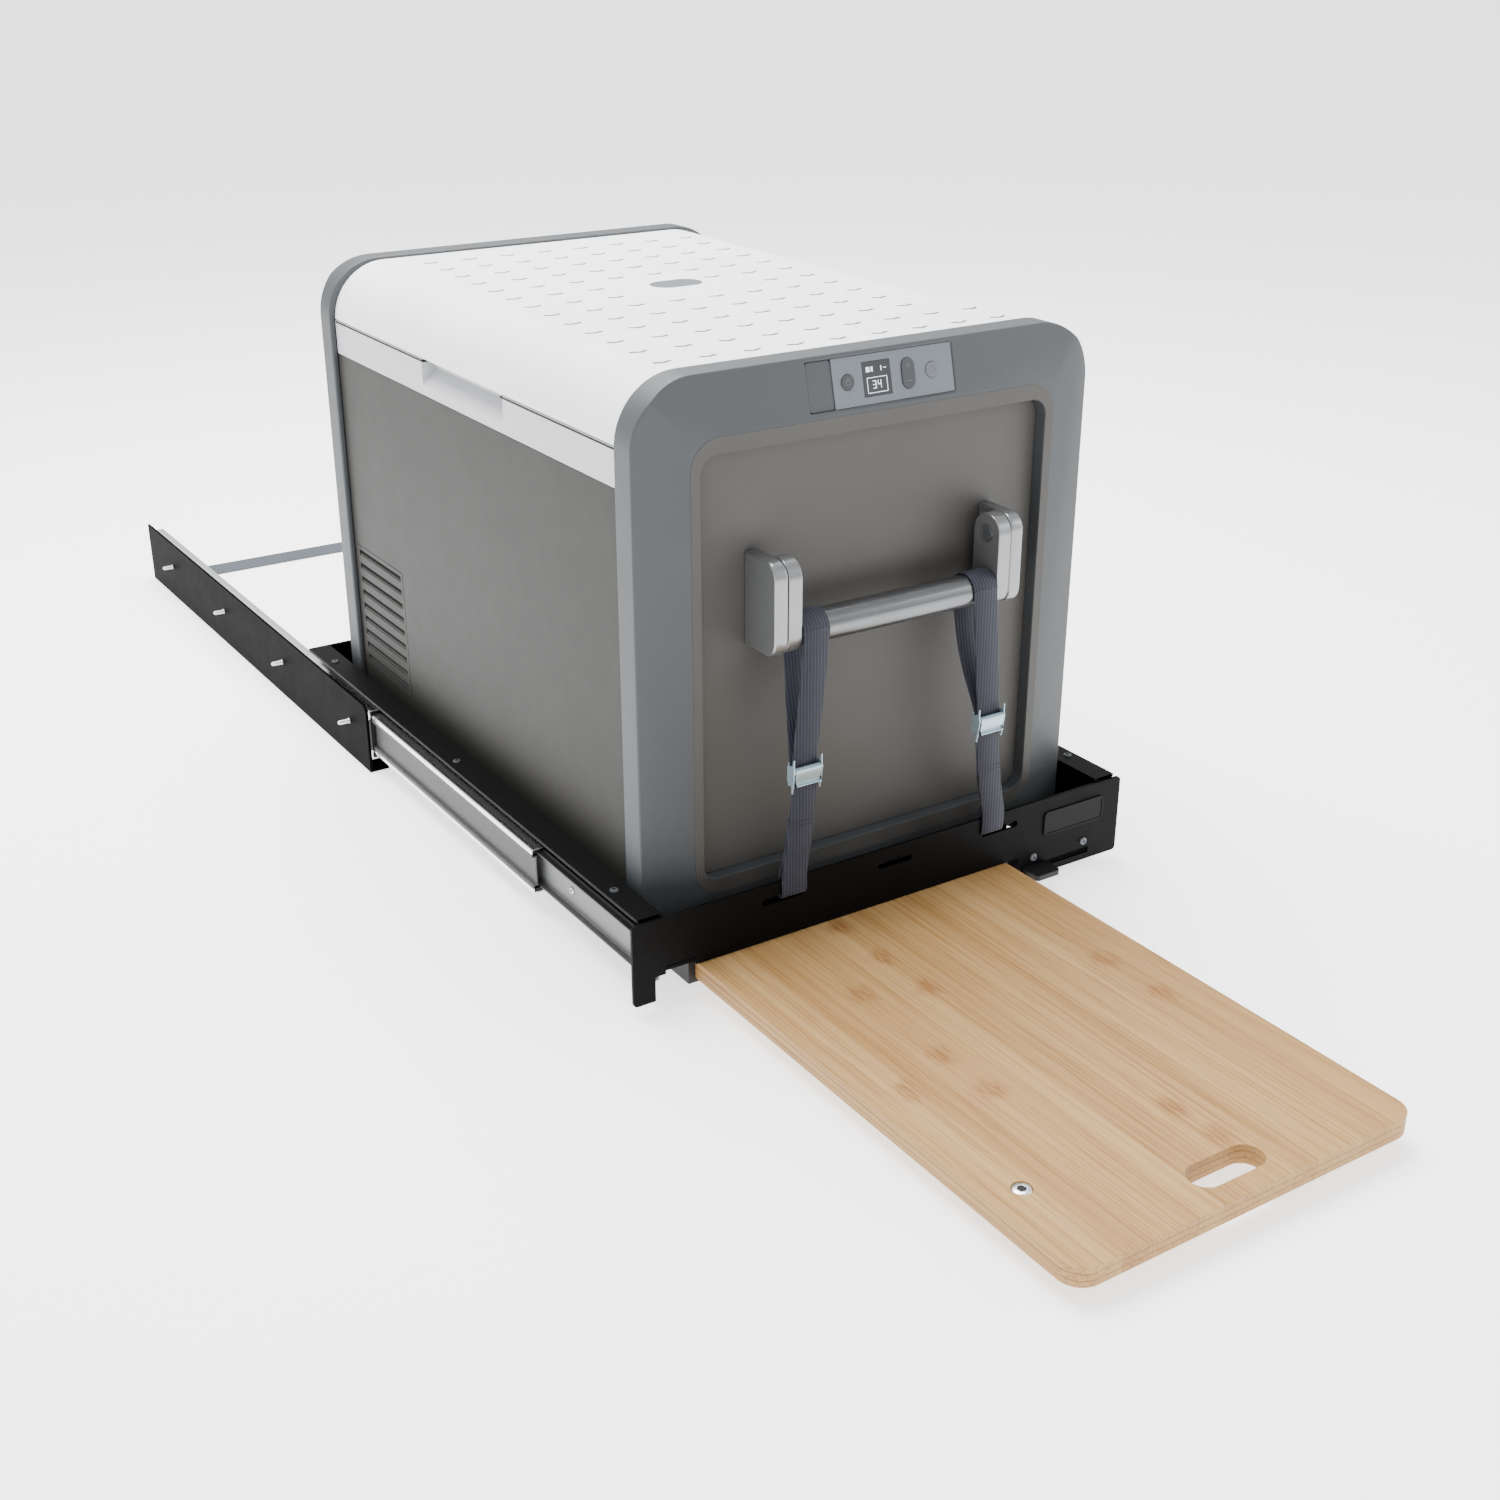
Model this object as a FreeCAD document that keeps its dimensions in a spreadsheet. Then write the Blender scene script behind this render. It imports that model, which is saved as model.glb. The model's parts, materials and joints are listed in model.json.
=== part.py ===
import FreeCAD, Part
import math
import os
import re
import Sketcher
from FreeCAD import Placement, Rotation, Vector

# A compressor cooler strapped into a pull-out tray. The tray runs on telescopic rails in a bolted-down
# base and carries a bamboo board that slides out from under it. It is modelled with both pulled out.
# +X is the right-hand side as a user stands in front, +Y points to the back and +Z up. The base stands on
# Z = 0. Places along Y are measured backwards from the outer face of the tray's front panel, and face_y
# puts that face where the origin falls under the middle of the whole set.

SIZES = {
    "face_y": -419,
    # Clearances
    "gap": 0.3,
    "play": 0.6,
    "running": 0.05,
    # Tray and its front panel
    "sheet": 3,
    "tray_half": 237.2,
    "tray_depth": 721,
    "tray_low": 32,
    "flange_half": 257.3,
    "flange_top": 86.9,
    "flange_start": 14,
    "panel_half": 264,
    "panel_top": 83.7,
    "panel_edge": 30.8,
    "panel_low": 7,
    "panel_leg": 243,
    "notch_out": 233,
    "notch_in": 204,
    "notch_top": 38.5,
    "lock_corner": 143,
    "return_depth": 22,
    "panel_round": 4,
    "slot_long": 42,
    "slot_tall": 6.5,
    "slot_high": 68,
    "slot_side": 118,
    "rear_slot_high": 75,
    "rear_slot_long": 37,
    "big_hole": 30,
    "big_hole_x": 121,
    "middle_hole": 20,
    "wide_hole": 7,
    "wide_hole_x": 85.5,
    "bolt_hole": 5,
    "bolt_hole_x": 75.5,
    "slot_bump": 4.5,
    "panel_screw_high": 27,
    "badge_left": 171,
    "badge_right": 243,
    "badge_low": 46,
    "badge_top": 70,
    "badge_proud": 1.5,
    "screw_head": 5,
    "screw_high": 2,
    "flange_screw_x": 248,
    # Sliding tray lock
    "lock_left": 149,
    "lock_right": 177,
    "lock_slot_right": 229,
    "lock_low": 13.5,
    "lock_high": 19.5,
    "lock_reach": 21,
    # Base
    "base_half": 259.3,
    "base_front": 561.6,
    "base_rear": 1302,
    "base_high": 74.6,
    "base_foot": 21,
    "base_round": 9,
    "strip_wide": 35,
    "stud_first": 611.5,
    "stud_shift": 10,
    "stud_pitch": 199.2,
    "stud_high": 41.5,
    "stud_radius": 2.5,
    "stud_long": 12,
    "stop_front": 1288,
    "stop_inner": 230,
    "stop_low": 25,
    "stop_hidden_top": 62,
    # Telescopic rails
    "rail_sheet": 1.8,
    "outer_low": 14.5,
    "outer_top": 69.5,
    "outer_lip": 243.5,
    "mid_low": 19.7,
    "mid_top": 64.3,
    "mid_lip": 241,
    "mid_race": 253,
    "mid_web": 247.4,
    "mid_step": 7.3,
    "mid_front": 200,
    "mid_long": 700,
    "inner_low": 24.9,
    "inner_top": 59.1,
    "inner_lip": 246,
    "rail_round": 1.6,
    # Bamboo board and its guides
    "board_left": -201,
    "board_right": 129,
    "board_low": 13.5,
    "board_top": 29.8,
    "board_front": -464,
    "board_back": 196,
    "board_round": 19,
    "stop_screw_x": -172,
    "stop_screw_y": -375,
    "stop_screw_radius": 8,
    "stop_screw_deep": 9,
    "grip_x": -36,
    "grip_y": -433,
    "grip_long": 68,
    "grip_wide": 27,
    "guide_low": 9.7,
    "guide_lip": 3.2,
    "guide_thick": 6.4,
    "guide_reach": 18,
    # Cooler body
    "end_half": 227.5,
    "end_low": 38,
    "end_top": 509.6,
    "cap_front": 36,
    "hoop_front": 47.6,
    "hoop_back": 73.4,
    "middle_y": 360,
    "corner": 55,
    "bevel_half": 182,
    "bevel_low": 68,
    "bevel_top": 462,
    "recess_half": 173,
    "recess_low": 82,
    "recess_top": 448,
    "recess_round": 15,
    "side_half": 222,
    "wall": 2.5,
    "chassis": 3,
    "band_low": 420,
    "band_top": 453,
    "band_half": 204,
    "band_end": 22,
    "scoop_front": 275,
    "scoop_back": 440,
    "scoop_low": 430,
    "scoop_deep": 14,
    "vent_front": 525,
    "vent_back": 640,
    "vent_low": 92,
    "vent_top": 223,
    "louvres": 9,
    "foot_radius": 20,
    "foot_x": 180,
    # Tub, insulation and cooling unit
    "tub_half": 175,
    "tub_front": 115,
    "tub_back": 470,
    "tub_low": 95,
    "shelf_back": 600,
    "shelf_low": 330,
    "liner": 2,
    "foam_back": 495,
    "foam_shelf": 300,
    "cold_low": 110,
    "cold_top": 300,
    "cold_thick": 1.5,
    "motor_x": -95,
    "motor_y": 571,
    "motor_radius": 46,
    "motor_top": 158,
    "coil_left": 100,
    "coil_right": 140,
    "coil_front": 522,
    "coil_back": 632,
    "coil_low": 70,
    "coil_top": 180,
    "fan_y": 577,
    "fan_z": 125,
    "fan_radius": 48,
    "fan_hub": 17,
    "shroud_left": 66,
    "shroud_right": 92,
    "card_left": -190,
    "card_low": 240,
    "socket_left": 60,
    "socket_low": 115,
    "wire": 3,
    # Lid
    "lid_low": 454.2,
    "lid_top": 507,
    "lid_wall": 3,
    "lid_inset": 5.5,
    "lid_pan": 459,
    "seal_half": 198,
    "seal_wide": 9,
    "hinge_x": 224.8,
    "hinge_z": 455,
    "hinge_pin": 1.5,
    "knuckle": 2.4,
    "knuckle_long": 22,
    "hinge_y": 160,
    # Control module, on the sloping face of the front cap
    "module_left": -70,
    "module_right": 75,
    "plate_left": -45,
    "module_low": 5,
    "module_tall": 40,
    "module_deep": 4,
    "plate_thick": 3,
    "power_x": -31,
    "enter_x": 53,
    "rocker_x": 29,
    "button_radius": 6.3,
    "rocker_pin": 1,
    "rocker_pin_out": -2.5,
    "screen_left": -16,
    "screen_right": 12,
    # Handles
    "cheek_out": 126,
    "cheek_in": 113,
    "arm_in": 100,
    "arm_front": 1.5,
    "arm_half": 17,
    "pivot_high": 345.6,
    "tube_high": 299.5,
    "tube_y": 15,
    "tube_radius": 14,
    "pivot_radius": 7,
    # Tie-down straps and their buckles
    "loop_x": 87,
    "strap_x": 97,
    "strap_wide": 25,
    "strap_thick": 1.6,
    "buckle_low": 164,
    "buckle_top": 194,
    "buckle_side": 1.5,
    "cam_pin": 2,
    "cam_y": -5.4,
    "cam_low": 172,
    "cam_high": 184,
}

# Rows of holes in the tray's floor and of screws on its flanges, and two odd holes on its right
BIG_HOLE_ROWS = (122, 577)
BOLT_HOLE_ROWS = (176, 270, 428, 521)
WIDE_HOLE_ROWS = (50, 672)
MIDDLE_HOLE_ROWS = (163, 540)
FLANGE_SCREW_ROWS = (57, 362, 668)
ODD_HOLES = ((137, 317), (193, 515))

NAME = re.compile(r"[a-z_]+[a-z]")
TURNS = {
    "x": Rotation(Vector(0, 0, 1), Vector(1, 0, 0)),
    "y": Rotation(Vector(0, 0, 1), Vector(0, 1, 0)),
    "z": Rotation(),
}

doc = FreeCAD.newDocument("Cooler")
sheet = doc.addObject("Spreadsheet::Sheet", "Sizes")
for row, (alias, size) in enumerate(SIZES.items(), start=1):
    sheet.set(f"A{row}", alias)
    sheet.set(f"B{row}", str(size))
    sheet.setAlias(f"B{row}", alias)
doc.recompute()
nodes = []


# ---------------------------------------------------------------- helpers

def full(text):
    """Write a short expression in the sheet's names the way FreeCAD binds it."""
    return NAME.sub(lambda found: "Sizes." + found[0] if found[0] in SIZES else found[0], str(text))


def put(solid, x, y, z):
    """Bind a solid's place; y is measured back from the front panel's outer face."""
    solid.setExpression("Placement.Base.x", full(x))
    solid.setExpression("Placement.Base.y", full(f"face_y + ({y})"))
    solid.setExpression("Placement.Base.z", full(z))
    return solid


def block(name, across, along, up):
    """A box between two places on each axis."""
    solid = doc.addObject("Part::Box", name)
    for side, (low, high) in zip(("Length", "Width", "Height"), (across, along, up)):
        solid.setExpression(side, full(f"({high}) - ({low})"))
    return put(solid, across[0], along[0], up[0])


def rod(name, axis, radius, centre, span):
    """A cylinder along an axis; centre is its place on the other two axes, in x, y, z order."""
    solid = doc.addObject("Part::Cylinder", name)
    solid.Placement = Placement(Vector(), TURNS[axis])
    solid.setExpression("Radius", full(radius))
    solid.setExpression("Height", full(f"({span[1]}) - ({span[0]})"))
    start = list(centre)
    start.insert("xyz".index(axis), span[0])
    return put(solid, *start)


def joined(name, *parts):
    """One solid from several that touch or overlap."""
    result = doc.addObject("Part::MultiFuse", name)
    result.Shapes = list(parts)
    result.Refine = True
    return result


def less(name, base, *tools):
    """The base with the tools cut out of it."""
    result = doc.addObject("Part::Cut", name)
    result.Base = base
    result.Tool = tools[0] if len(tools) == 1 else group(name + "Tools", *tools)
    return result


def shared(name, *parts):
    """What several solids have in common."""
    result = doc.addObject("Part::MultiCommon", name)
    result.Shapes = list(parts)
    return result


def group(name, *parts):
    """Separate solids kept together as one sub-part."""
    result = doc.addObject("Part::Compound", name)
    result.Links = list(parts)
    return result


def flipped(name, source, normal, height=0):
    """The mirror image of a solid about a plane through face_y + height on the normal's axis."""
    result = doc.addObject("Part::Mirroring", name)
    result.Source = source
    result.Normal = Vector(*normal)
    if normal[1]:
        result.setExpression("Base.y", full(f"face_y + {height}"))
    return result


def other_side(name, source):
    return flipped(name, source, (1, 0, 0))


def other_end(name, source):
    return flipped(name, source, (0, 1, 0), "middle_y")


def straight(edge, axis):
    """True for a straight edge that runs along the named axis."""
    if edge.Curve.TypeId != "Part::GeomLine":
        return False
    return abs(getattr(edge.Curve.Direction, axis)) > 0.999


def chosen(shape, axis, test):
    """Numbers of the shape's straight edges along an axis whose middle passes the test."""
    found = []
    for number, edge in enumerate(shape.Edges, start=1):
        if straight(edge, axis) and test(edge.CenterOfMass):
            found.append(number)
    return found


def rounded(name, source, radius, axis, test=lambda middle: True):
    """A solid with some of its edges along an axis rounded to a radius from the sheet."""
    doc.recompute()
    result = doc.addObject("Part::Fillet", name)
    result.Base = source
    size = SIZES[radius]
    result.Edges = [(number, size, size) for number in chosen(source.Shape, axis, test)]
    return result


def slot(name, centre_x, centre_z, long, tall, along):
    """A round-ended cutter through a wall that faces along Y."""
    reach = f"({long} - {tall}) / 2"
    parts = [block(name + "Middle", (f"{centre_x} - {reach}", f"{centre_x} + {reach}"), along,
                   (f"{centre_z} - {tall} / 2", f"{centre_z} + {tall} / 2"))]
    for sign in "-+":
        parts.append(rod(name + "End", "y", f"{tall} / 2", (f"{centre_x} {sign} {reach}", centre_z), along))
    return joined(name, *parts)


def keyed_slot(name, centre_z, long, along):
    """A slot on the middle plane with a small round notch in its upper edge."""
    notch = rod(name + "Notch", "y", "slot_bump", (0, f"{centre_z} + slot_tall / 2 - 1"), along)
    return joined(name, slot(name + "Slot", 0, centre_z, long, "slot_tall", along), notch)


def plane_of(body, role):
    """One of a body's own origin planes."""
    return next(item for item in body.Origin.OriginFeatures if item.Role == role)


def outline_body(name, role, corners, depth, place, rounds=(), reverse=False):
    """A PartDesign body: straight-edged outline on one of its planes, padded, with rounded edges.

    rounds lists (radius, axis, test) for the edges to round."""
    body = doc.addObject("PartDesign::Body", name)
    sketch = body.newObject("Sketcher::SketchObject", name + "Outline")
    sketch.AttachmentSupport = [(plane_of(body, role), "")]
    sketch.MapMode = "FlatFace"
    count = len(corners)
    ring = [Vector(math.cos(math.tau * step / count), math.sin(math.tau * step / count))
            for step in range(count)]
    for step in range(count):
        sketch.addGeometry(Part.LineSegment(ring[step], ring[(step + 1) % count]))
    for step in range(count):
        sketch.addConstraint(Sketcher.Constraint("Coincident", step, 2, (step + 1) % count, 1))
    for step, corner in enumerate(corners):
        for kind, text, start in zip(("DistanceX", "DistanceY"), corner, ring[step]):
            number = sketch.addConstraint(Sketcher.Constraint(kind, -1, 1, step, 1, start))
            sketch.setExpression(f"Constraints[{number}]", full(text))
    pad = body.newObject("PartDesign::Pad", name + "Pad")
    pad.Profile = sketch
    pad.Reversed = reverse
    pad.setExpression("Length", full(depth))
    put(body, *place)
    for number, (radius, axis, test) in enumerate(rounds):
        doc.recompute()
        sharp = body.Tip
        edges = [f"Edge{index}" for index in chosen(body.Shape, axis, test)]
        fillet = body.newObject("PartDesign::Fillet", f"{name}Round{number}")
        fillet.Base = (sharp, edges)
        fillet.setExpression("Radius", full(radius))
        body.Tip = fillet
    return body


def profile(name, corners, span, rounds=()):
    """A body with one cross-section in X and Z along a stretch of Y."""
    return outline_body(name, "XZ_Plane", corners, f"({span[1]}) - ({span[0]})", (0, span[0], 0), rounds,
                        True)


def keep(label, solid):
    """Name a finished sub-part; its file takes the same name."""
    solid.Label = label
    nodes.append(solid)
    return solid


# ---------------------------------------------------------------- base

def make_base():
    """Two folded side brackets tied by a flat strip, with studs, stops and the rails' outer members.

    The right-hand row of studs stands a little further back, so no two studs share an axis."""
    foot = "-(base_half - base_foot)"
    outline = [("-base_half", 0), (foot, 0), (foot, "sheet"), ("-(base_half - sheet)", "sheet"),
               ("-(base_half - sheet)", "base_high"), ("-base_half", "base_high")]
    front = SIZES["face_y"] + SIZES["base_front"] + 1
    rounds = [("base_round", "x", lambda middle: middle.z > SIZES["sheet"] * 2 and middle.y < front)]
    left = keep("base_bracket_left", profile("BracketLeft", outline, ("base_front", "base_rear"), rounds))
    keep("base_bracket_right", other_side("BracketRight", left))

    studs = []
    for first, span in (("stud_first", ("-(base_half + stud_long)", "-base_half")),
                        ("stud_first + stud_shift", ("base_half", "base_half + stud_long"))):
        for step in range(4):
            place = (f"{first} + {step} * stud_pitch", "stud_high")
            studs.append(rod("Stud", "x", "stud_radius", place, span))
    keep("mounting_studs", group("Studs", *studs))

    inside = "base_half - base_foot"
    strip = block("RearStrip", (f"-({inside})", inside), ("base_rear - strip_wide", "base_rear"),
                  (0, "sheet"))
    keep("rear_cross_strip", strip)

    deep = ("stop_front", "stop_front + sheet")
    right = block("StopRight", ("stop_inner", "base_half - sheet"), deep, ("stop_low", "base_high"))
    left = block("StopLeft", ("-(base_half - sheet)", "-outer_lip"), deep, ("stop_low", "stop_hidden_top"))
    keep("rear_stop_plates", group("StopPlates", right, left))

    back = "base_half - sheet"
    outline = channel_outline("outer", back, "outer_lip")
    left = keep("outer_rail_left", profile("OuterRailLeft", outline, ("base_front", "stop_front - gap"),
                                           rail_rounds(SIZES["base_half"] - SIZES["sheet"])))
    keep("outer_rail_right", other_side("OuterRailRight", left))


# ---------------------------------------------------------------- rails

def channel_outline(member, back, lip):
    """The C-shaped section of a rail on the left side: a web with a lip above and below."""
    web = f"-({back} - rail_sheet)" if member == "outer" else f"-({back} + rail_sheet)"
    low, top = f"{member}_low", f"{member}_top"
    return [(f"-({back})", low), (f"-{lip}", low), (f"-{lip}", f"{low} + rail_sheet"),
            (web, f"{low} + rail_sheet"), (web, f"{top} - rail_sheet"), (f"-{lip}", f"{top} - rail_sheet"),
            (f"-{lip}", top), (f"-({back})", top)]


def rail_rounds(back):
    """Round the two outer corners where the web meets the lips."""
    return [("rail_round", "y", lambda middle: abs(abs(middle.x) - back) < 0.01)]


def make_middle_rails():
    """The middle members, whose races stand outwards past the web."""
    step_low, step_top = "mid_low + mid_step", "mid_top - mid_step"
    race_in = "-(mid_race - rail_sheet)"
    web_in, web_out = "-mid_web", "-(mid_web + rail_sheet)"
    outline = [
        ("-mid_lip", "mid_low"), ("-mid_lip", "mid_low + rail_sheet"), (race_in, "mid_low + rail_sheet"),
        (race_in, step_low), (web_in, step_low), (web_in, step_top), (race_in, step_top),
        (race_in, "mid_top - rail_sheet"), ("-mid_lip", "mid_top - rail_sheet"), ("-mid_lip", "mid_top"),
        ("-mid_race", "mid_top"), ("-mid_race", f"{step_top} - rail_sheet"),
        (web_out, f"{step_top} - rail_sheet"), (web_out, f"{step_low} + rail_sheet"),
        ("-mid_race", f"{step_low} + rail_sheet"), ("-mid_race", "mid_low")]
    span = ("mid_front", "mid_front + mid_long")
    left = keep("mid_rail_left", profile("MidRailLeft", outline, span, rail_rounds(SIZES["mid_race"])))
    keep("mid_rail_right", other_side("MidRailRight", left))


# ---------------------------------------------------------------- tray

def make_tray():
    """The pan with its flanges, the front panel, the lock, the inner rails and the board's guides."""
    top = "tray_low + sheet"
    inside = "tray_half - sheet"
    along = ("sheet", "tray_depth")
    pan = joined(
        "PanSheets",
        block("PanFloor", ("-tray_half", "tray_half"), along, ("tray_low", top)),
        block("PanRear", ("-tray_half", "tray_half"), ("tray_depth - sheet", "tray_depth"),
              ("tray_low", "flange_top")),
        *[block("PanWall", span, along, ("tray_low", "flange_top"))
          for span in (("-tray_half", f"-({inside})"), (inside, "tray_half"))],
        *[block("PanFlange", span, ("flange_start", "tray_depth"), ("flange_top - sheet", "flange_top"))
          for span in (("-flange_half", f"-({inside})"), (inside, "flange_half"))])
    through = ("tray_low - sheet", f"{top} + sheet")
    holes = []
    for sign in "-+":
        holes += [rod("BigHole", "z", "big_hole", (f"{sign}big_hole_x", y), through) for y in BIG_HOLE_ROWS]
        holes += [rod("BoltHole", "z", "bolt_hole", (f"{sign}bolt_hole_x", y), through)
                  for y in BOLT_HOLE_ROWS]
    for y in WIDE_HOLE_ROWS:
        for times in (-2, -1, 0, 1, 2):
            holes.append(rod("WideHole", "z", "wide_hole", (f"{times} * wide_hole_x", y), through))
    holes += [rod("MiddleHole", "z", "middle_hole", (0, y), through) for y in MIDDLE_HOLE_ROWS]
    holes += [rod("OddHole", "z", "wide_hole", place, through) for place in ODD_HOLES]
    rear = ("tray_depth - 2 * sheet", "tray_depth + sheet")
    for x in ("-slot_side", "slot_side"):
        holes.append(slot("RearSlot", x, "rear_slot_high", "rear_slot_long", "slot_tall", rear))
    holes.append(keyed_slot("RearMiddle", "rear_slot_high", "rear_slot_long", rear))
    keep("tray_pan", less("TrayPan", pan, *holes))

    outline = [
        ("-panel_half", "panel_low + 1"), ("-panel_leg", "panel_low + 1"), ("-panel_leg", "panel_edge"),
        ("-notch_out", "panel_edge"), ("-notch_out", "notch_top"), ("-notch_in", "notch_top"),
        ("-notch_in", "panel_edge"), ("lock_corner", "panel_edge"), ("lock_corner", "panel_low"),
        ("panel_half", "panel_low"), ("panel_half", "panel_top"), ("-panel_half", "panel_top")]
    rounds = [("panel_round", "y", lambda middle: abs(abs(middle.x) - SIZES["panel_half"]) < 0.01)]
    face = profile("PanelSheet", outline, (0, "sheet"), rounds)
    fold = block("PanelFold", ("lock_corner", "lock_corner + sheet"), ("sheet", "return_depth"),
                 ("panel_low", "panel_edge"))
    past = ("-sheet", "2 * sheet")
    cuts = [slot("PanelSlot", x, "slot_high", "slot_long", "slot_tall", past)
            for x in ("-slot_side", "slot_side")]
    cuts.append(keyed_slot("PanelMiddle", "slot_high", "rear_slot_long", past))
    cuts.append(block("LockSlot", ("lock_left - 1", "lock_slot_right"), past, ("lock_low", "lock_high")))
    keep("tray_front_panel", less("FrontPanel", joined("PanelFolded", face, fold), *cuts))

    badge = block("BadgePlate", ("badge_left", "badge_right"), ("-badge_proud", 0),
                  ("badge_low", "badge_top"))
    keep("blank_badge", rounded("Badge", badge, "panel_round", "y"))

    screws = []
    for x in ("lock_corner + 18", "lock_slot_right - 7"):
        screws.append(rod("PanelScrew", "y", "screw_head - 1", (x, "panel_screw_high"), ("-screw_high", 0)))
    for x in ("-flange_screw_x", "flange_screw_x"):
        for y in FLANGE_SCREW_ROWS:
            screws.append(rod("FlangeScrew", "z", "screw_head - 1", (x, y),
                              ("flange_top", "flange_top + screw_high")))
    keep("tray_screws", group("TrayScrews", *screws))

    outline = channel_outline("inner", "tray_half", "inner_lip")
    left = keep("inner_rail_left", profile("InnerRailLeft", outline, along, rail_rounds(SIZES["tray_half"])))
    keep("inner_rail_right", other_side("InnerRailRight", left))

    for side, rim, sign in (("left", "board_left", "-"), ("right", "board_right", "+")):
        wall_in, wall_out = f"{rim} {sign} play", f"{rim} {sign} (play + guide_thick)"
        lip = f"{wall_in} {sign} (-guide_reach)"
        lip_top = "guide_low + guide_lip"
        outline = [(wall_out, "guide_low"), (lip, "guide_low"), (lip, lip_top), (wall_in, lip_top),
                   (wall_in, "tray_low"), (wall_out, "tray_low")]
        keep(f"board_guide_{side}", profile(f"Guide{side.title()}", outline,
                                            ("2 * sheet", "tray_depth - 20")))

    paddle = block("LockPaddle", ("lock_left", "lock_right"), ("-lock_reach", "sheet + gap"),
                   ("lock_low + gap", "lock_high - gap"))
    paddle = rounded("LockRounded", paddle, "panel_round", "z", lambda middle: middle.y < SIZES["face_y"] - 1)
    slide = block("LockSlide", ("lock_left - 1", "lock_right + 1"), ("sheet + gap", "2 * sheet"),
                  ("panel_low + 1", "panel_edge - 6"))
    keep("slide_lock_tab", joined("LockTab", paddle, slide))


def make_board():
    """The bamboo board with its hand slot and the flush stop screw."""
    corners = [("board_left", "board_front"), ("board_right", "board_front"),
               ("board_right", "board_back"), ("board_left", "board_back")]
    front = SIZES["face_y"] + SIZES["board_front"] + 1
    rounds = [("board_round", "z", lambda middle: middle.y < front)]
    plank = outline_body("BoardPlank", "XY_Plane", corners, "board_top - board_low", (0, 0, "board_low"),
                         rounds)
    reach = "(grip_long - grip_wide) / 2"
    through = ("board_low - 1", "board_top + 1")
    grip = [block("GripMiddle", (f"grip_x - {reach}", f"grip_x + {reach}"),
                  ("grip_y - grip_wide / 2", "grip_y + grip_wide / 2"), through)]
    for sign in "-+":
        grip.append(rod("GripEnd", "z", "grip_wide / 2", (f"grip_x {sign} {reach}", "grip_y"), through))
    centre, floor = ("stop_screw_x", "stop_screw_y"), "board_top - stop_screw_deep"
    seat = rod("ScrewSeat", "z", "stop_screw_radius", centre, (floor, "board_top + 1"))
    keep("sliding_board", less("Board", plank, joined("Grip", *grip), seat))
    head = rod("StopScrewHead", "z", "stop_screw_radius", centre, (floor, "board_top"))
    socket = rod("StopScrewSocket", "z", "stop_screw_radius * 3 / 8", centre,
                 (f"{floor} + 4", "board_top + 1"))
    keep("board_stop_screw", less("StopScrew", head, socket))


# ---------------------------------------------------------------- cooler

def arched(name, half, along, low, top):
    """The stretch between two heights of a block whose upper edges are rounded like the end frames."""
    across = (f"-({half})", half)
    tall = block(name + "Tall", across, along, (0, top))
    arch = rounded(name + "Arch", tall, "corner", "y", lambda middle: middle.z > SIZES["bevel_top"])
    return shared(name, arch, block(name + "Stretch", across, along, (low, top)))


def make_ends():
    """The end frames, each with a bevelled face round a recess, and the panels set in them."""
    bevel = doc.addObject("Part::Wedge", "CapBevel")
    for field, text in (("Xmin", "-bevel_half"), ("Xmax", "bevel_half"), ("Ymin", "cap_front"),
                        ("Ymax", "hoop_front"), ("Zmin", "bevel_low"), ("Zmax", "bevel_top"),
                        ("X2min", "-end_half"), ("X2max", "end_half"), ("Z2min", "end_low"),
                        ("Z2max", "end_top")):
        bevel.setExpression(field, full(text))
    put(bevel, 0, 0, 0)
    hoop = block("HoopBlock", ("-end_half", "end_half"), ("hoop_front", "hoop_back"), ("end_low", "end_top"))
    bulk = arched("CapBulk", "end_half", ("cap_front", "hoop_back"), "end_low", "end_top")
    skin = shared("CapSkin", joined("CapSolid", bevel, hoop), bulk)
    recess = block("CapRecess", ("-recess_half", "recess_half"), ("cap_front - 1", "hoop_front + sheet"),
                   ("recess_low", "recess_top"))
    recess = rounded("CapRecessRound", recess, "recess_round", "y")
    hollow = arched("CapHollow", "end_half - 6", ("hoop_front + 2 * sheet", "hoop_back + 1"), "end_low + 6",
                    "end_top - 6")
    plain = less("CapPlain", skin, recess, hollow)
    seat = slope_block("ModuleSeat", ("module_left", "module_right"),
                       ("module_low", "module_low + module_tall"),
                       ("-module_deep", "module_deep"))
    keep("front_end_frame", less("FrontFrame", plain, seat))
    keep("rear_end_frame", other_end("RearFrame", plain))

    inset = block("InsetBlock", ("-recess_half + gap", "recess_half - gap"),
                  ("hoop_front", "hoop_front + sheet"),
                  ("recess_low + gap", "recess_top - gap"))
    inset = keep("front_inset_panel", rounded("FrontInset", inset, "recess_round", "y"))
    keep("rear_inset_panel", other_end("RearInset", inset))


def slope_placement():
    """The frame of the cap's upper slope: X across, Y up the slope and Z outwards."""
    rise = SIZES["end_top"] - SIZES["bevel_top"]
    run = SIZES["hoop_front"] - SIZES["cap_front"]
    up = Vector(0, run, rise).normalize()
    out = Vector(0, -rise, run).normalize()
    turn = Rotation(Vector(1, 0, 0), up, out, "XYZ")
    return Placement(Vector(0, SIZES["face_y"] + SIZES["cap_front"], SIZES["bevel_top"]), turn)


def slope_block(name, across, up, out):
    """A box on the slope, between two places across it, up it and out of it."""
    solid = doc.addObject("Part::Box", name)
    for side, (low, high) in zip(("Length", "Width", "Height"), (across, up, out)):
        solid.setExpression(side, full(f"({high}) - ({low})"))
    return on_slope(solid, across[0], up[0], out[0])


def slope_rod(name, radius, across, up, out):
    """A cylinder that stands out of the slope."""
    solid = doc.addObject("Part::Cylinder", name)
    solid.setExpression("Radius", full(radius))
    solid.setExpression("Height", full(f"({out[1]}) - ({out[0]})"))
    return on_slope(solid, across, up, out[0])


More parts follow.
